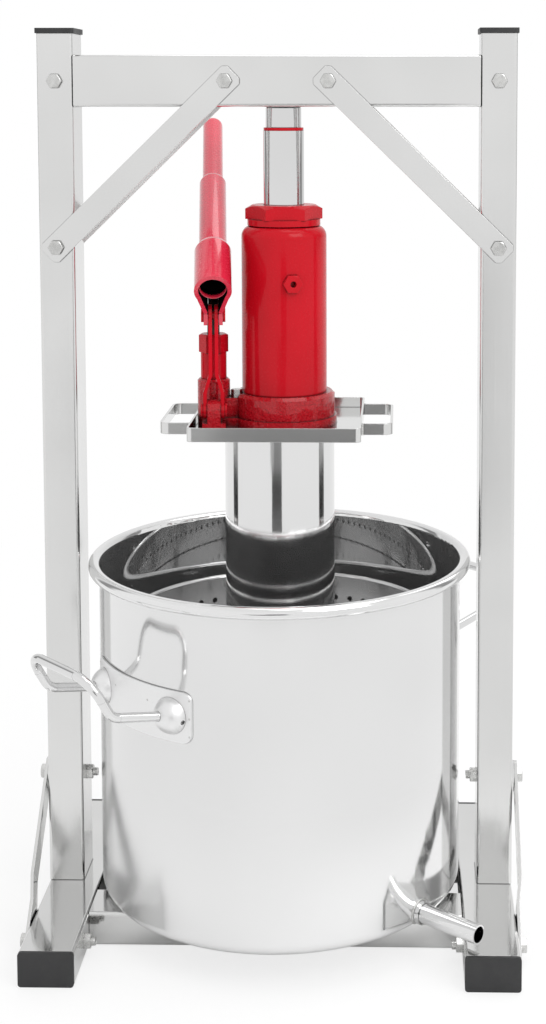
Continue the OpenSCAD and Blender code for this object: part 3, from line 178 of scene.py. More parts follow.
for name, tone, corners in [
        ("pale_card", pale, upright(card_left, card_middle, card_foot, card_top)),
        ("grey_card", grey, upright(card_middle, card_right, card_foot, card_top)),
        ("dark_flag", dark, upright(flag_left, card_right, 0.0, card_foot)),
        ("dark_runner", dark, [(flag_left, card_y, runner_z), (card_right, card_y, runner_z),
                               (runner_right, runner_y, runner_z), (runner_left, runner_y, runner_z)]),
        ("tank_flag", dark, upright(tank_flag_left, card_right, card_top, tank_flag_top))]:
    card_mesh = bpy.data.meshes.new(name)
    card_mesh.from_pydata(corners, [], [(0, 1, 2, 3)])
    card = bpy.data.objects.new(name, card_mesh)
    scene.collection.objects.link(card)
    card.visible_camera = False
    card_grey = bpy.data.materials.new(name)
    card_grey.use_nodes = True
    shader = card_grey.node_tree.nodes["Principled BSDF"]
    shader.inputs["Base Color"].default_value = (tone, tone, tone, 1)
    shader.inputs["Roughness"].default_value = 0.9
    card_mesh.materials.append(card_grey)
scene.view_settings.view_transform = "Standard"

# Camera: to the right of the middle at the height of the top beam, looking a little down and left.
# The lens shift keeps the posts nearly upright.
film_width = 36
focal_pixels, photo_height = 1702.9, 1024
tilt_down, turn_left = 5.0, 1.2
lens = bpy.data.cameras.new("camera")
lens.sensor_width = film_width
lens.lens = film_width * focal_pixels / photo_height
lens.shift_x, lens.shift_y = -0.0899, -0.2621
lens.clip_start, lens.clip_end = 0.02, 60
camera = bpy.data.objects.new("camera", lens)
camera.location = (0.1201, -1.6732, 0.8218)
camera.rotation_euler = (math.radians(90 - tilt_down), 0, math.radians(turn_left))
scene.collection.objects.link(camera)
scene.camera = camera


# Frame: feet, cross tubes, posts and top beam, all drawn stainless tube.
# The maker grinds each tube along its length, which leaves a fine satin grain.
def new_finish(name):
    finish = bpy.data.materials.new(name)
    finish.use_nodes = True
    return finish, finish.node_tree, finish.node_tree.nodes["Principled BSDF"]


def position(tree):
    return tree.nodes.new("ShaderNodeTexCoord").outputs["Object"]


def noise(tree, place, scale, detail=3.0, rough=0.5):
    cloud = tree.nodes.new("ShaderNodeTexNoise")
    cloud.inputs["Scale"].default_value = scale
    cloud.inputs["Detail"].default_value = detail
    cloud.inputs["Roughness"].default_value = rough
    wire(tree, place, cloud.inputs["Vector"])
    return cloud.outputs["Fac"]


def tint(tree, value, dark, light):
    mix = tree.nodes.new("ShaderNodeMix")
    mix.data_type = "RGBA"
    mix.inputs["A"].default_value = (*dark, 1)
    mix.inputs["B"].default_value = (*light, 1)
    wire(tree, value, mix.inputs["Factor"])
    return mix.outputs["Result"]


def relief(tree, shader, height, strength, depth, edge=0.0):
    """Raises the surface by a height, and rounds its edges where edge gives a radius."""
    bump = tree.nodes.new("ShaderNodeBump")
    if edge:
        soft_edge = tree.nodes.new("ShaderNodeBevel")
        soft_edge.samples = 4
        soft_edge.inputs["Radius"].default_value = edge
        wire(tree, soft_edge.outputs["Normal"], bump.inputs["Normal"])
    bump.inputs["Strength"].default_value = strength
    bump.inputs["Distance"].default_value = depth
    wire(tree, height, bump.inputs["Height"])
    wire(tree, bump.outputs["Normal"], shader.inputs["Normal"])


def reckon_place(tree, operation, first, second):
    """One sum on places in space; what isn't a socket is set as a fixed value."""
    step = tree.nodes.new("ShaderNodeVectorMath")
    step.operation = operation
    slot = step.inputs["Scale"] if operation == "SCALE" else step.inputs[1]
    for socket, value in ((step.inputs[0], first), (slot, second)):
        if isinstance(value, bpy.types.NodeSocket):
            wire(tree, value, socket)
        else:
            socket.default_value = value
    return step.outputs["Value"] if operation == "DOT_PRODUCT" else step.outputs[0]


def along_grain(tree, direction, across, lengthwise):
    """Places for a grain, with one scale across a direction and another along it."""
    place = position(tree)
    axis = Vector(direction).normalized()
    run = reckon_place(tree, "SCALE", axis, reckon_place(tree, "DOT_PRODUCT", place, axis))
    rest = reckon_place(tree, "SUBTRACT", place, run)
    fine = reckon_place(tree, "SCALE", rest, across)
    return reckon_place(tree, "ADD", fine, reckon_place(tree, "SCALE", run, lengthwise))


def with_painted_seam_shade(tree, colour, reach, darkest):
    """Darkens a colour where pieces meet and in corners, by ambient occlusion: painted shade."""
    shut_in, open_air = 0.45, 0.90
    corner = tree.nodes.new("ShaderNodeAmbientOcclusion")
    corner.samples = 8
    corner.inputs["Distance"].default_value = reach
    seam_shade = tree.nodes.new("ShaderNodeMix")
    seam_shade.data_type = "RGBA"
    seam_shade.blend_type = "MULTIPLY"
    seam_shade.inputs["Factor"].default_value = 1.0
    wire(tree, colour, seam_shade.inputs["A"])
    wire(tree, spread(tree, corner.outputs["AO"], darkest, 1.0, shut_in, open_air), seam_shade.inputs["B"])
    return seam_shade.outputs["Result"]


# How far the painted shade at seams reaches out from where pieces meet.
seam_reach = 0.0014


def satin_steel(name, direction, shine=0.07, dull=0.13, bright=0.0):
    """Steel ground along a direction, from shine to dull; bright lifts its tone, as painted light."""
    dark_tone = [tone + bright for tone in (0.66, 0.66, 0.655)]
    pale_tone = [tone + bright for tone in (0.72, 0.72, 0.715)]
    lines_across, lines_along = 1500, 7
    finish, tree, shader = new_finish(name)
    shader.inputs["Metallic"].default_value = 1.0
    grain_place = along_grain(tree, direction, lines_across, lines_along)
    grain = noise(tree, grain_place, scale=1.0, detail=4.0, rough=0.6)
    cloud = noise(tree, position(tree), scale=7.0, detail=2.0)
    steel = tint(tree, spread(tree, cloud, 0, 1), dark_tone, pale_tone)
    # Painted shade: the steel's colour darkens where pieces meet.
    wire(tree, with_painted_seam_shade(tree, steel, seam_reach, darkest=0.15), shader.inputs["Base Color"])
    wire(tree, spread(tree, grain, shine, dull), shader.inputs["Roughness"])
    relief(tree, shader, grain, strength=0.04, depth=0.00008, edge=0.0007)
    return finish


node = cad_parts


def dress(names, finish):
    for name in names:
        mesh = node[name].data
        mesh.materials.clear()
        mesh.materials.append(finish)


satin_x = satin_steel("satin_steel_across", (1, 0, 0))
satin_y = satin_steel("satin_steel_deep", (0, 1, 0))
satin_z = satin_steel("satin_steel_upright", (0, 0, 1), shine=0.15, dull=0.21)
dress(["cross_tube_front", "cross_tube_rear", "top_beam"], satin_x)
dress(["foot_left", "foot_right"], satin_y)
dress(["post_left", "post_right", "post_stubs"], satin_z)

# Braces and straps: flat stainless bar with clipped corners, bolted at both ends.
# Each is ground along its own slope; the rear braces are left as blasted, because nobody sees them, and their
# tone is painted lighter to lift the shade they sit in behind the front braces.
ground = {"shine": 0.07, "dull": 0.13, "bright": 0.0}
blasted_and_painted_lighter = {"shine": 0.50, "dull": 0.60, "bright": 0.16}
for name in ("brace_front_left", "brace_rear_left", "brace_front_right", "brace_rear_right"):
    lean = 1 if "left" in name else -1
    dress([name], satin_steel(name + "_satin", (lean, 0, 1), **(ground if "front" in name else blasted_and_painted_lighter)))
strap_low, strap_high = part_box("strap_right_front")
strap_span = strap_high - strap_low
for name in ("strap_left_front", "strap_left_rear", "strap_right_front", "strap_right_rear"):
    lean = 1 if "front" in name else -1
    dress([name], satin_steel(name + "_satin", (0, lean * strap_span.y, strap_span.z)))

# End caps: moulded black plastic, pushed over the feet and into the posts.
# The moulding has a fine spark grain and a few paler scuffs.
black_cap, tree, shader = new_finish("black_cap_plastic")
spark_grain = noise(tree, position(tree), scale=1800, detail=2.0)
scuff = noise(tree, position(tree), scale=45, detail=5.0, rough=0.7)
scuffed = spread(tree, scuff, 0, 1, start=0.45, end=0.8)
cap_black = tint(tree, scuffed, (0.018, 0.018, 0.019), (0.034, 0.034, 0.034))
wire(tree, cap_black, shader.inputs["Base Color"])
wire(tree, spread(tree, scuff, low=0.42, high=0.62), shader.inputs["Roughness"])
relief(tree, shader, spark_grain, strength=0.25, depth=0.0002, edge=0.0010)
dress(["foot_caps", "post_caps"], black_cap)

# Bolts and nuts: zinc plated steel, cold headed, with a rolled thread that shows at each tip.
# The plating is a soft grey with faint cloudy crystals.
zinc, tree, shader = new_finish("zinc_plate")
shader.inputs["Metallic"].default_value = 1.0
crystal = tree.nodes.new("ShaderNodeTexVoronoi")
crystal.inputs["Scale"].default_value = 420
wire(tree, position(tree), crystal.inputs["Vector"])
haze = noise(tree, position(tree), scale=160)
zinc_grey = tint(tree, spread(tree, haze, 0, 1), (0.52, 0.52, 0.51), (0.68, 0.68, 0.67))
wire(tree, zinc_grey, shader.inputs["Base Color"])
wire(tree, spread(tree, crystal.outputs["Distance"], low=0.20, high=0.36, start=0.0, end=1.0),
     shader.inputs["Roughness"])
relief(tree, shader, haze, strength=0.08, depth=0.0002, edge=0.0004)
dress(["base_bolts", "strap_foot_bolts", "strap_post_bolts", "brace_bolts", "beam_bolts"], zinc)


def add_piece(name, mesh, finish, body):
    piece = bpy.data.objects.new(name, mesh)
    scene.collection.objects.link(piece)
    mesh.materials.append(finish)
    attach(piece, body)
    return piece


def rolled_thread(shape, tip, direction, length, core, crest, pitch):
    """Winds one ridge back from a bolt's tip, tapering in at both ends."""
    steps, foot = 18, 0.46
    turn = Vector((0, 0, 1)).rotation_difference(Vector(direction)).to_matrix()
    count = int(length / pitch * steps)
    rows = []
    for i in range(count + 1):
        angle = 2 * math.pi * i / steps
        rise = min(1.0, i / steps, (count - i) / steps)
        middle = -length * i / count
        row = []
        for radius, offset in ((core, -foot), (core + (crest - core) * rise, 0.0), (core, foot)):
            spot = Vector((radius * math.cos(angle), radius * math.sin(angle), middle + offset * pitch))
            row.append(shape.verts.new(Vector(tip) + turn @ spot))
        rows.append(row)
    for a, b in zip(rows, rows[1:]):
        shape.faces.new((a[0], a[1], b[1], b[0]))
        shape.faces.new((a[1], a[2], b[2], b[1]))


base_bolt_x, base_bolt_y, base_bolt_z = 0.170, 0.117, 0.0165
strap_bolt_x = 0.187
post_bolt_x, beam_bolt_x, brace_foot_z, beam_z = 0.215, 0.05, 0.6735, 0.835
brace_tip_y, beam_tip_y = 0.0385, 0.0355
strap_bolt_low, strap_bolt_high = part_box("strap_post_bolts")
strap_bolt_z = (strap_bolt_low.z + strap_bolt_high.z) / 2
bolt_ends = [((end * base_bolt_x, y, base_bolt_z), (-end, 0, 0))
             for end in (-1, 1) for y in (-base_bolt_y, base_bolt_y)]
bolt_ends += [((end * strap_bolt_x, 0, strap_bolt_z), (-end, 0, 0)) for end in (-1, 1)]
bolt_ends += [((end * x, brace_tip_y, z), (0, 1, 0))
              for x, z in ((post_bolt_x, brace_foot_z), (beam_bolt_x, beam_z)) for end in (-1, 1)]
bolt_ends += [((end * post_bolt_x, beam_tip_y, beam_z), (0, 1, 0)) for end in (-1, 1)]
threads = bmesh.new()
for tip, direction in bolt_ends:
    rolled_thread(threads, tip, direction, length=0.0038, core=0.0039, crest=0.0043, pitch=0.00125)
thread_mesh = bpy.data.meshes.new("bolt_threads")
threads.to_mesh(thread_mesh)
threads.free()
add_piece("bolt_threads", thread_mesh, zinc, "frame")

# Pot: deep drawn stainless sheet, rolled at the rim and polished to a mirror.
# Polishing leaves hairlines round the wall, and the sheet is never quite flat.
# The wall is rubbed duller low on its left, and the inside keeps a brighter polish.
pot_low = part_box("pot")[0]
pot_r = 0.180
pot_edge = 0.012
plate_bearings = (math.radians(-90 - 47), math.radians(90 - 47))
plate_z = pot_low.z + 0.221


def rubbed_wall(tree, shader, polish, film, rubbed):
    """Dulls the pot's wall low on the left and brightens its inside; gives the new polish."""
    rub_low, rub_high = 0.10, 0.30
    rub_left, rub_right = -0.12, -0.02
    rub_dull, inside_polish = 0.15, 0.3
    inside_r, outside_r = pot_r - 0.0005, pot_r - 0.0001
    place = tree.nodes.new("ShaderNodeSeparateXYZ")
    wire(tree, position(tree), place.inputs[0])
    x, y, z = place.outputs
    low_left = reckon(tree, "MULTIPLY", spread(tree, z, 1.0, 0.0, rub_low, rub_high),
                      spread(tree, x, 1.0, 0.0, rub_left, rub_right))
    polish = reckon(tree, "ADD", polish, reckon(tree, "MULTIPLY", low_left, rub_dull))
    wire(tree, spread(tree, low_left, 1.0 - film, 1.0 - rubbed, 0.0, 1.0), shader.inputs["Metallic"])
    axis_r = reckon(tree, "SQRT", reckon(
        tree, "ADD", reckon(tree, "MULTIPLY", x, x), reckon(tree, "MULTIPLY", y, y)))
    return reckon(tree, "MULTIPLY", polish, spread(tree, axis_r, inside_polish, 1.0, inside_r, outside_r))


def polished_steel(name, dark_tone, pale_tone, dull, shine, wave=0.03, rubbed=0.0, film=0.0):
    """Mirror steel: wave is how far it is from flat, film and rubbed are how much of its metal is veiled."""
    lines_across, lines_along = 7, 1400
    finish, tree, shader = new_finish(name)
    shader.inputs["Metallic"].default_value = 1.0 - film
    hairline = noise(tree, along_grain(tree, (0, 0, 1), lines_across, lines_along), scale=1.0, rough=0.6)
    sheet_wave = noise(tree, position(tree), scale=5.0, detail=1.0)
    steel = tint(tree, spread(tree, sheet_wave, 0, 1), (dark_tone,) * 3, (pale_tone,) * 3)
    # Painted shade: the steel's colour darkens where pieces meet.
    wire(tree, with_painted_seam_shade(tree, steel, seam_reach, darkest=0.25), shader.inputs["Base Color"])
    polish = spread(tree, hairline, shine, dull)
    if rubbed:
        polish = rubbed_wall(tree, shader, polish, film, rubbed)
    wire(tree, polish, shader.inputs["Roughness"])
    relief(tree, shader, sheet_wave, wave, depth=0.01)
    return finish


dress(["pot"], polished_steel("pot_mirror_steel", 0.73, 0.79, dull=0.11, shine=0.09, rubbed=0.21, film=0.08))
rod_steel = polished_steel("rod_mirror_steel", 0.70, 0.76, dull=0.10, shine=0.05)
dress(["spout", "pot_handle_left", "pot_handle_right"], rod_steel)
plate_steel = polished_steel("handle_plate_steel", 0.80, 0.86, dull=0.46, shine=0.36)
dress(["handle_plate_left", "handle_plate_right"], plate_steel)


# Welds on the pot: a bead of stainless filler round the spout's collar, and spots that hold the handle plates.
# The bead is left as laid, and the spots are darker than the sheet round them.
def turns(count):
    """The angles of equal steps round a circle."""
    return [2 * math.pi * k / count for k in range(count)]


def skin(shape, a, b):
    """Closes the sheet between two rings of corners."""
    for k in range(len(a)):
        j = (k + 1) % len(a)
        shape.faces.new((a[k], a[j], b[j], b[k]))


def weld_bead(shape, route, radius, closed=False):
    """Lays a rippled bead along a route of close points."""
    sides, ripple, ripple_steps, nearly_upright = 8, 0.1, 5, 0.1
    rows = []
    for i, spot in enumerate(route):
        ahead = route[(i + 1) % len(route)] if closed or i + 1 < len(route) else spot
        behind = route[i - 1] if closed or i else spot
        forward = (ahead - behind).normalized()
        across = forward.cross(Vector((0, 0, 1)))
        across = across.normalized() if across.length > nearly_upright else Vector((1, 0, 0))
        over = across.cross(forward)
        swell = radius * (1 - ripple + ripple * math.cos(2 * math.pi * i / ripple_steps))
        rows.append([shape.verts.new(spot + swell * (across * math.cos(a) + over * math.sin(a)))
                     for a in turns(sides)])
    for a, b in zip(rows, rows[1:] + rows[:1] if closed else rows[1:]):
        skin(shape, a, b)
    if not closed:
        shape.faces.new(rows[0][::-1])
        shape.faces.new(rows[-1])


def low_dome(shape, crown, rim):
    """Closes a ring of points up to one crown."""
    top = shape.verts.new(crown)
    corners = [shape.verts.new(point) for point in rim]
    for k, corner in enumerate(corners):
        shape.faces.new((corner, corners[(k + 1) % len(corners)], top))


def mesh_of(shape, name):
    bmesh.ops.recalc_face_normals(shape, faces=shape.faces)
    mesh = bpy.data.meshes.new(name)
    shape.to_mesh(mesh)
    shape.free()
    mesh.shade_smooth()
    return mesh


weld_steel, tree, shader = new_finish("weld_steel")
shader.inputs["Metallic"].default_value = 1.0
scale_skin = noise(tree, position(tree), scale=500)
weld_grey = tint(tree, spread(tree, scale_skin, 0, 1), (0.50, 0.50, 0.49), (0.68, 0.68, 0.67))
wire(tree, weld_grey, shader.inputs["Base Color"])
wire(tree, spread(tree, scale_skin, low=0.24, high=0.40), shader.inputs["Roughness"])
relief(tree, shader, scale_skin, strength=0.15, depth=0.0002)
pot_welds = bmesh.new()
spout_turn = math.radians(51)
spout_out = Vector((math.sin(spout_turn), -math.cos(spout_turn), 0))
spout_side = Vector((math.cos(spout_turn), math.sin(spout_turn), 0))
spout_z = pot_low.z + 0.014
collar_r, collar_bead, collar_steps = 0.0114, 0.0012, 150
collar_route = []
for a in turns(collar_steps):
    sideways, z = collar_r * math.cos(a), spout_z + collar_r * math.sin(a)
    under = max(0.0, pot_low.z + pot_edge - z)
    wall = pot_r - pot_edge + math.sqrt(pot_edge ** 2 - under ** 2)
    outward = math.sqrt(wall ** 2 - sideways ** 2)
    collar_route.append(spout_out * outward + spout_side * sideways + Vector((0, 0, z)))
weld_bead(pot_welds, collar_route, collar_bead, closed=True)
plate_face = pot_r + 0.0022
spot_r, spot_rise, spot_sunk, spot_sides = 0.0016, 0.0003, 0.0002, 12
end_run, end_rise, inner_run, inner_rise = 0.0725, 0.017, 0.026, 0.009
spots = [(end * end_run, rise) for end in (-1, 1) for rise in (-end_rise, 0, end_rise)]
spots += [(-inner_run, inner_rise), (inner_run, inner_rise)]
for bearing in plate_bearings:
    for run, rise in spots:
        a = bearing + math.asin(run / pot_r)
        out, side = Vector((math.cos(a), math.sin(a), 0)), Vector((-math.sin(a), math.cos(a), 0))
        middle = out * (plate_face - spot_sunk) + Vector((0, 0, plate_z + rise))
        rim = [middle + spot_r * (side * math.cos(b) + Vector((0, 0, math.sin(b)))) for b in turns(spot_sides)]
        low_dome(pot_welds, middle + out * spot_rise, rim)
add_piece("pot_welds", mesh_of(pot_welds, "pot_welds"), weld_steel, "frame")

# Vents in the handle bosses: one small hole, punched through the sheet low on the outer side of each boss.
# No hole is cut: a near-black disc laid on each boss is painted shadow for the hole's dark mouth.
vent_painted_shadow, tree, shader = new_finish("vent_shadow")
shadow_mottle = noise(tree, position(tree), scale=700, detail=2.0)
wire(tree, tint(tree, shadow_mottle, (0.012, 0.012, 0.012), (0.03, 0.03, 0.03)), shader.inputs["Base Color"])
shader.inputs["Roughness"].default_value = 0.7
vents = bmesh.new()
boss_ball, boss_stand, boss_run = 0.0176, 0.016, 0.053
boss_middle = pot_r + boss_stand - boss_ball
vent_r, vent_sides = 0.0022, 14
vent_out, vent_aside, vent_down = 0.34, 0.94, 0.17
vent_turn = vent_r / boss_ball
for bearing in plate_bearings:
    for end in (-1, 1):
        a = bearing + end * math.asin(boss_run / pot_r)
        out, side = Vector((math.cos(a), math.sin(a), 0)), end * Vector((-math.sin(a), math.cos(a), 0))
        axis = (out * vent_out + side * vent_aside - Vector((0, 0, vent_down))).normalized()
        across = axis.cross(Vector((0, 0, 1))).normalized()
        over = across.cross(axis)
        middle = out * boss_middle + Vector((0, 0, plate_z))
        rim = [middle + boss_ball * (axis * math.cos(vent_turn) + math.sin(vent_turn) * (
            across * math.cos(b) + over * math.sin(b))) for b in turns(vent_sides)]
        low_dome(vents, middle + axis * boss_ball, rim)
add_piece("boss_vents", mesh_of(vents, "boss_vents"), vent_painted_shadow, "frame")

# Basket: perforated stainless sheet rolled into a drum, with a wired rim and a strainer floor.
# Its rows of punched holes are staggered, and notches in its lower edge let the juice out.
basket_steel = polished_steel("basket_steel", 0.50, 0.56, dull=0.12, shine=0.07, wave=0.02, film=0.14)
dress(["basket_floor"], basket_steel)
basket_low, basket_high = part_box("basket")
rim_r, rim_steps, rim_sides = 0.0032, 112, 16
sheet_thick, plain_top = 0.0012, 0.026
hole_r, hole_sides, hole_count = 0.003, 12, 56
row_count, row_step = 9, 0.024
notch_count, notch_steps, notch_height, notch_half_width = 8, 12, 0.006, 0.011
drum_in = basket_high.x - 2 * rim_r
drum_out = drum_in + sheet_thick
first_row = basket_high.z - plain_top
notch_top = basket_low.z + notch_height
notch_half, notch_step = notch_half_width / drum_out, 2 * math.pi / notch_count
drum = bmesh.new()


def drum_point(radius, angle, z):
    return drum.verts.new((radius * math.cos(angle), radius * math.sin(angle), z))


def punched_row(z, shift):
    """One row of holes: each hole is joined to the edges of its own square of sheet, on both faces."""
    half_w, half_h = math.pi / hole_count, row_step / 2
    tiny = 1e-6
    corner = math.atan2(half_h, half_w * drum_out)
    for k in range(hole_count):
        middle = (k + shift) * 2 * half_w
        mouths = []
        for radius in (drum_out, drum_in):
            hole, edge = [], []
            for i in range(hole_sides):
                a = 2 * math.pi * (i + 0.5) / hole_sides
                c, s = math.cos(a), math.sin(a)
                hole.append(drum_point(radius, middle + hole_r * c / radius, z + hole_r * s))
                reach = min(half_w * drum_out / max(abs(c), tiny), half_h / max(abs(s), tiny))
                edge.append(drum_point(radius, middle + reach * c / drum_out, z + reach * s))
            mouths.append(hole)
            corners = [drum_point(radius, middle + sx * half_w, z + sz * half_h)
                       for sx, sz in ((1, 1), (-1, 1), (-1, -1), (1, -1))]
            outside = radius == drum_out
            for i in range(hole_sides):
                j = (i + 1) % hole_sides
                a0 = 2 * math.pi * (i + 0.5) / hole_sides
                a1 = 2 * math.pi * (i + 1.5) / hole_sides
                loop = [hole[i], edge[i]]
                for n, at in enumerate((corner, math.pi - corner, math.pi + corner, 2 * math.pi - corner)):
                    if a0 < at < a1:
                        loop.append(corners[n])
                loop += [edge[j], hole[j]]
                drum.faces.new(loop if outside else loop[::-1])
        outer, inner = mouths
        for i in range(hole_sides):
            j = (i + 1) % hole_sides
            drum.faces.new((outer[j], inner[j], inner[i], outer[i]))


def plain_band(low, high, start, end, steps):
    """A closed strip of the drum's sheet between two heights and two bearings."""
    rows = []
    for i in range(steps + 1):
        angle = start + (end - start) * i / steps
        rows.append([drum_point(r, angle, z) for r, z in
                     ((drum_out, low), (drum_out, high), (drum_in, high), (drum_in, low))])
    for a, b in zip(rows, rows[1:]):
        for i in range(4):
            j = (i + 1) % 4
            drum.faces.new((a[i], b[i], b[j], a[j]))
    for row, order in ((rows[0], (0, 1, 2, 3)), (rows[-1], (3, 2, 1, 0))):
        drum.faces.new([row[i] for i in order])


for i in range(row_count):
    punched_row(first_row - i * row_step, 0.5 * (i % 2))
holes_top = first_row + row_step / 2
holes_low = first_row - (row_count - 0.5) * row_step
wire_middle = basket_high.z - rim_r
plain_band(holes_top, wire_middle, 0, 2 * math.pi, rim_steps)
plain_band(notch_top, holes_low, 0, 2 * math.pi, rim_steps)
for k in range(notch_count):
    tab_start, tab_end = k * notch_step + notch_half, (k + 1) * notch_step - notch_half
    plain_band(basket_low.z, notch_top, tab_start, tab_end, notch_steps)
bmesh.ops.remove_doubles(drum, verts=drum.verts, dist=1e-6)
ring = []
for angle in turns(rim_steps):
    ring.append([drum_point(drum_in + rim_r + rim_r * math.cos(b), angle, wire_middle + rim_r * math.sin(b))
                 for b in turns(rim_sides)])
for a, b in zip(ring, ring[1:] + ring[:1]):
    for i in range(rim_sides):
        j = (i + 1) % rim_sides
        drum.faces.new((a[i], b[i], b[j], a[j]))
basket_mesh = mesh_of(drum, "perforated_basket")
basket_mesh.set_sharp_from_angle(angle=math.radians(35))
basket = add_piece("perforated_basket", basket_mesh, basket_steel, "frame")
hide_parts("basket")

# Press plate, column and tray: a turned plate, a polished tube and a folded pan, all of stainless steel.
# They are welded into one head that carries the jack, with two bent strips on the tray as handles.
dress(["column"], polished_steel("column_mirror_steel", 0.70, 0.76, dull=0.09, shine=0.06, wave=0.012))
head_steel = polished_steel("press_plate_steel", 0.56, 0.62, dull=0.14, shine=0.09, wave=0.006, film=0.10)
dress(["press_plate"], head_steel)
dress(["tray"], satin_x)
dress(["tray_handle_left", "tray_handle_right"], satin_y)
column_low, column_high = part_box("column")
tray_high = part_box("tray")[1]
strip_low, strip_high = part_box("tray_handle_right")
strip_height = strip_high.z - strip_low.z
round_bead, round_steps, round_lift = 0.0020, 700, 0.0008
strip_bead, strip_steps = 0.0015, 24
bead_ring = column_high.x + 0.0006
bead_x, bead_y = tray_high.x + 0.0005, strip_high.y + 0.0004
head_welds = bmesh.new()
for z in (column_low.z + round_lift, column_high.z - round_lift):
    round_route = [Vector((bead_ring * math.cos(a), bead_ring * math.sin(a), z)) for a in turns(round_steps)]
    weld_bead(head_welds, round_route, round_bead, closed=True)
for sx in (-1, 1):
    for sy in (-1, 1):
        strip_route = [Vector((sx * bead_x, sy * bead_y, strip_low.z + strip_height * i / strip_steps))
                       for i in range(strip_steps + 1)]
        weld_bead(head_welds, strip_route, strip_bead)
add_piece("head_welds", mesh_of(head_welds, "head_welds"), weld_steel, "press_head")


# Jack: cast iron base with a steel tank, cap nut and pump, all sprayed with red gloss enamel.
# The base keeps the sand casting's rough skin under the paint; the check plug stays zinc plated.
def red_enamel(name, peel_scale=420, peel_depth=0.0004, peel=0.05, edge=0.0007,
               gloss=0.08, coat=0.22, fade=1.0, nook=0.0020):
    """Red paint over a peel; fade makes it paler, and nook is how far painted shade reaches out of a corner.
    """
    lift = (fade, fade ** 6, fade ** 6)
    dark_red = [tone * up for tone, up in zip((0.47, 0.004, 0.011), lift)]
    pale_red = [tone * up for tone, up in zip((0.55, 0.005, 0.015), lift)]
    finish, tree, shader = new_finish(name)
    orange_peel = noise(tree, position(tree), peel_scale, detail=4.0, rough=0.55)
    shade = noise(tree, position(tree), scale=14)
    paint = tint(tree, spread(tree, shade, 0, 1), dark_red, pale_red)
    # Painted shade: the paint's colour darkens in seams and corners, as far as nook reaches.
    wire(tree, with_painted_seam_shade(tree, paint, nook, darkest=0.20), shader.inputs["Base Color"])
    wire(tree, spread(tree, orange_peel, low=0.20, high=0.30), shader.inputs["Roughness"])
    shader.inputs["Specular IOR Level"].default_value = gloss
    shader.inputs["Coat Weight"].default_value = coat
    shader.inputs["Coat Roughness"].default_value = 0.05
    relief(tree, shader, orange_peel, peel, peel_depth, edge)
    return finish


smooth_red = red_enamel("red_gloss_enamel")
# The cast base and the pump get a longer nook, so the painted shade spreads deeper into their corners.
cast_red = red_enamel("red_cast_enamel", peel_scale=360, peel_depth=0.0045, peel=1.0, edge=0.0020,
                      gloss=0.15, coat=0.65, nook=0.010)
pump_red = red_enamel("red_pump_enamel", nook=0.020)
dress(["jack_base"], cast_red)
dress(["pump_cylinder"], pump_red)
dress(["oil_tank", "cap_nut", "filler_plug", "ram_ring"], smooth_red)
dress(["check_plug", "pressure_cylinder"], zinc)

# Ram, extension screw and plunger: ground and chromed rod, with a turned steel screw in the ram's top.
# The grinder leaves very fine rings round the rod; the seal is rubber, and the plunger is near black: grease,
# and painted shade for the dark hollow between the socket's ears.
chrome = polished_steel("ground_chrome", 0.64, 0.70, dull=0.06, shine=0.02, wave=0.004)
dress(["ram", "extension_screw"], chrome)
dress(["ram_piston"], zinc)
seal, tree, shader = new_finish("oily_rubber")
rubber_grain = noise(tree, position(tree), scale=900, detail=2.0)
wire(tree, tint(tree, rubber_grain, (0.02, 0.02, 0.02), (0.04, 0.04, 0.04)), shader.inputs["Base Color"])
wire(tree, spread(tree, rubber_grain, low=0.35, high=0.5), shader.inputs["Roughness"])
relief(tree, shader, rubber_grain, strength=0.1, depth=0.0002)
dress(["piston_seal"], seal)
grease_and_shade, tree, shader = new_finish("greased_steel_and_shade")
grease = noise(tree, position(tree), scale=240)
grease_and_shade_black = tint(tree, spread(tree, grease, 0, 1), (0.022, 0.019, 0.017), (0.05, 0.045, 0.04))
wire(tree, grease_and_shade_black, shader.inputs["Base Color"])
wire(tree, spread(tree, grease, low=0.50, high=0.65), shader.inputs["Roughness"])
shader.inputs["Specular IOR Level"].default_value = 0.12
relief(tree, shader, grease, strength=0.06, depth=0.0002)
dress(["pump_plunger"], grease_and_shade)

# Link, lever and handle: stamped and rolled steel under the same enamel.
# The pins are turned steel with upset heads, painted over with the rest.
# The spray does not reach into the handle's tubes, so their bores stay bare and oily; their near-black tone,
# and that of the throat between the socket's ears, is also painted shade for the deep unlit hollow.
dress(["link_strap_left", "link_strap_right", "link_pin", "fulcrum_pin", "pump_pin"], smooth_red)
dress(["release_valve"], zinc)
handle_turn, handle_rise = math.radians(6), math.radians(32)
handle_side = Vector((math.cos(handle_turn), math.sin(handle_turn), 0))
rearward = Vector((-handle_side.y, handle_side.x, 0))
handle_axis = Vector((0, 0, math.sin(handle_rise))) + math.cos(handle_rise) * rearward
handle_over = handle_side.cross(handle_axis)
tube_points = [corner.co for corner in node["handle_lower"].data.vertices]
handle_mouth = handle_axis * min(point.dot(handle_axis) for point in tube_points)
for across in (handle_side, handle_over):
    reach = [point.dot(across) for point in tube_points]
    handle_mouth += across * (min(reach) + max(reach)) / 2


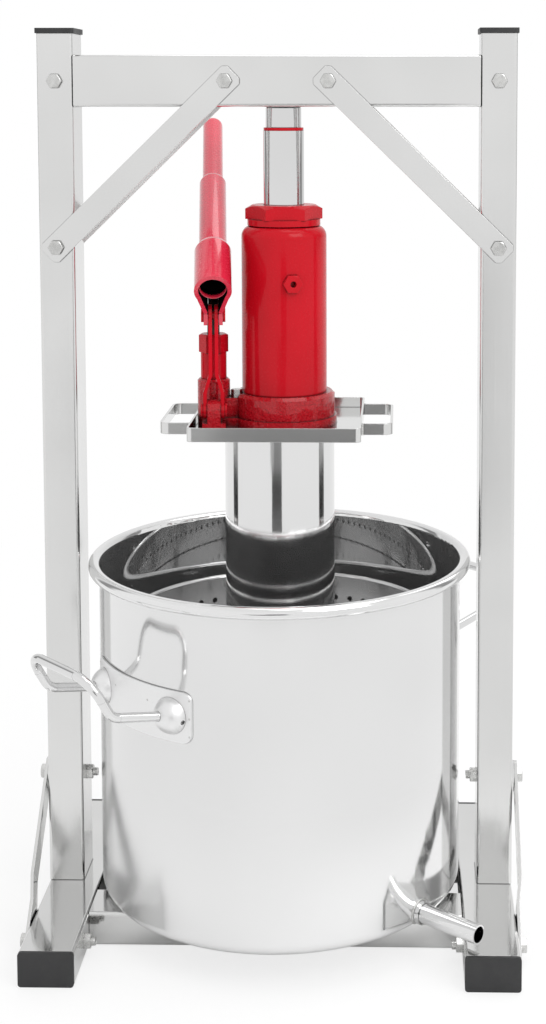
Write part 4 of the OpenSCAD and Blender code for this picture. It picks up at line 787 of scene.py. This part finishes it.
def bare_shaded_bore(finish, bore_r, depth, throat=0.0):
    """Paints near black, as bare steel and painted shade, what lies within bore_r of the handle's axis and the
    throat between the socket's ears.
    """
    ear_across, ear_down = 0.941, 0.339
    socket_front = -0.0155
    bare_and_shade_black = (0.004, 0.003, 0.003, 1)
    tree = finish.node_tree
    shader = tree.nodes["Principled BSDF"]
    from_mouth = reckon_place(tree, "SUBTRACT", position(tree), handle_mouth)
    run = reckon_place(tree, "DOT_PRODUCT", from_mouth, handle_axis)
    side = reckon(tree, "ABSOLUTE", reckon_place(tree, "DOT_PRODUCT", from_mouth, handle_side))
    under = reckon_place(tree, "DOT_PRODUCT", from_mouth, handle_axis.cross(handle_side))
    radius = reckon(tree, "SQRT", reckon(
        tree, "ADD", reckon(tree, "MULTIPLY", side, side), reckon(tree, "MULTIPLY", under, under)))
    bare_and_shaded = reckon(tree, "LESS_THAN", radius, bore_r)
    if throat:
        wall = reckon(tree, "ADD", reckon(tree, "MULTIPLY", side, ear_across),
                      reckon(tree, "MULTIPLY", under, ear_down))
        between = reckon(tree, "MULTIPLY", reckon(tree, "LESS_THAN", wall, throat),
                         reckon(tree, "GREATER_THAN", under, 0.0))
        bare_and_shaded = reckon(tree, "MAXIMUM", bare_and_shaded, between)
    bare_and_shaded = reckon(tree, "MULTIPLY", bare_and_shaded, reckon(tree, "LESS_THAN", run, depth))
    bare_and_shaded = reckon(tree, "MULTIPLY", bare_and_shaded, reckon(tree, "GREATER_THAN", run, socket_front))
    spray = tree.nodes.new("ShaderNodeMix")
    spray.data_type = "RGBA"
    wire(tree, bare_and_shaded, spray.inputs["Factor"])
    wire(tree, shader.inputs["Base Color"].links[0].from_socket, spray.inputs["A"])
    # Near black: bare oily steel, darkened further as painted shade of the deep bore and throat.
    spray.inputs["B"].default_value = bare_and_shade_black
    wire(tree, spray.outputs["Result"], shader.inputs["Base Color"])
    for layer in ("Coat Weight", "Specular IOR Level"):
        full = shader.inputs[layer].default_value
        wire(tree, spread(tree, bare_and_shaded, full, 0.0, 0.0, 1.0), shader.inputs[layer])
    return finish


for name, bore_r, depth, throat in (
        ("lever_socket", 0.0142, 0.2, 0.0159),
        ("handle_lower", 0.01265, 0.1, 0.0),
        ("handle_upper", 0.0087, 1.0, 0.0)):
    handle_red = red_enamel(name + "_enamel", edge=0.0, gloss=0.5, coat=1.0, fade=1.25)
    dress([name], bare_shaded_bore(handle_red, bore_r, depth, throat))

# Ferrule in the handle's mouth: a thin turned steel ring that carries the tube's end to the socket's front.
# It is sprayed with the handle, so only its front edge is red; its bore is bare, and its near-black tone there
# is partly painted shade.
ferrule_sides, ferrule_bore, ferrule_depth = 64, 0.01255, 0.1
ferrule_section = ((0.0135, 0.0), (0.0135, -0.0105), (0.0131, -0.0112), (0.0126, -0.0108), (0.0125, 0.0))
ferrule = bmesh.new()
loops = []
for radius, run in ferrule_section:
    loops.append([ferrule.verts.new(handle_mouth + handle_axis * run + radius * (
        handle_side * math.cos(b) + handle_over * math.sin(b))) for b in turns(ferrule_sides)])
for a, b in zip(loops, loops[1:] + loops[:1]):
    skin(ferrule, a, b)
ferrule_red = red_enamel("handle_ferrule_enamel", edge=0.0003, gloss=0.5, coat=1.0, fade=1.25)
ferrule_red = bare_shaded_bore(ferrule_red, ferrule_bore, ferrule_depth)
add_piece("handle_ferrule", mesh_of(ferrule, "handle_ferrule"), ferrule_red, "lever")

# Web between the socket's ears: a steel strip bent over the plunger's eye and welded in, left bare and greasy;
# its near-black tone is grease and painted shade.
# It ties the ears together and closes the throat, which looks black from the front.
eye_low, eye_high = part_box("pump_plunger")
eye_drop = 0.0085
eye_pin = Vector(((eye_low.x + eye_high.x) / 2, (eye_low.y + eye_high.y) / 2, eye_high.z - eye_drop))
web_r, web_half_width, web_half_thick = 0.0107, 0.0051, 0.0005
bend_start, bend_step, bend_count = 105, 8, 13
web_run = [(-0.0040, 0.0290, -1.0, 0.0), (-0.0037, 0.0112, -1.0, 0.0)]
web_run += [(web_r * math.cos(a), web_r * math.sin(a), math.cos(a), math.sin(a))
            for a in [math.radians(bend_start - bend_step * k) for k in range(bend_count)]]
web = bmesh.new()
rows = []
for back, up, out_back, out_up in web_run:
    middle = eye_pin + rearward * back + Vector((0, 0, up))
    out = (rearward * out_back + Vector((0, 0, out_up))) * web_half_thick
    rows.append([web.verts.new(middle + face * out + handle_side * (end * web_half_width))
                 for face, end in ((1, 1), (1, -1), (-1, -1), (-1, 1))])
for a, b in zip(rows, rows[1:]):
    skin(web, a, b)
web.faces.new(rows[0][::-1])
web.faces.new(rows[-1])
add_piece("socket_web", mesh_of(web, "socket_web"), grease_and_shade, "lever")
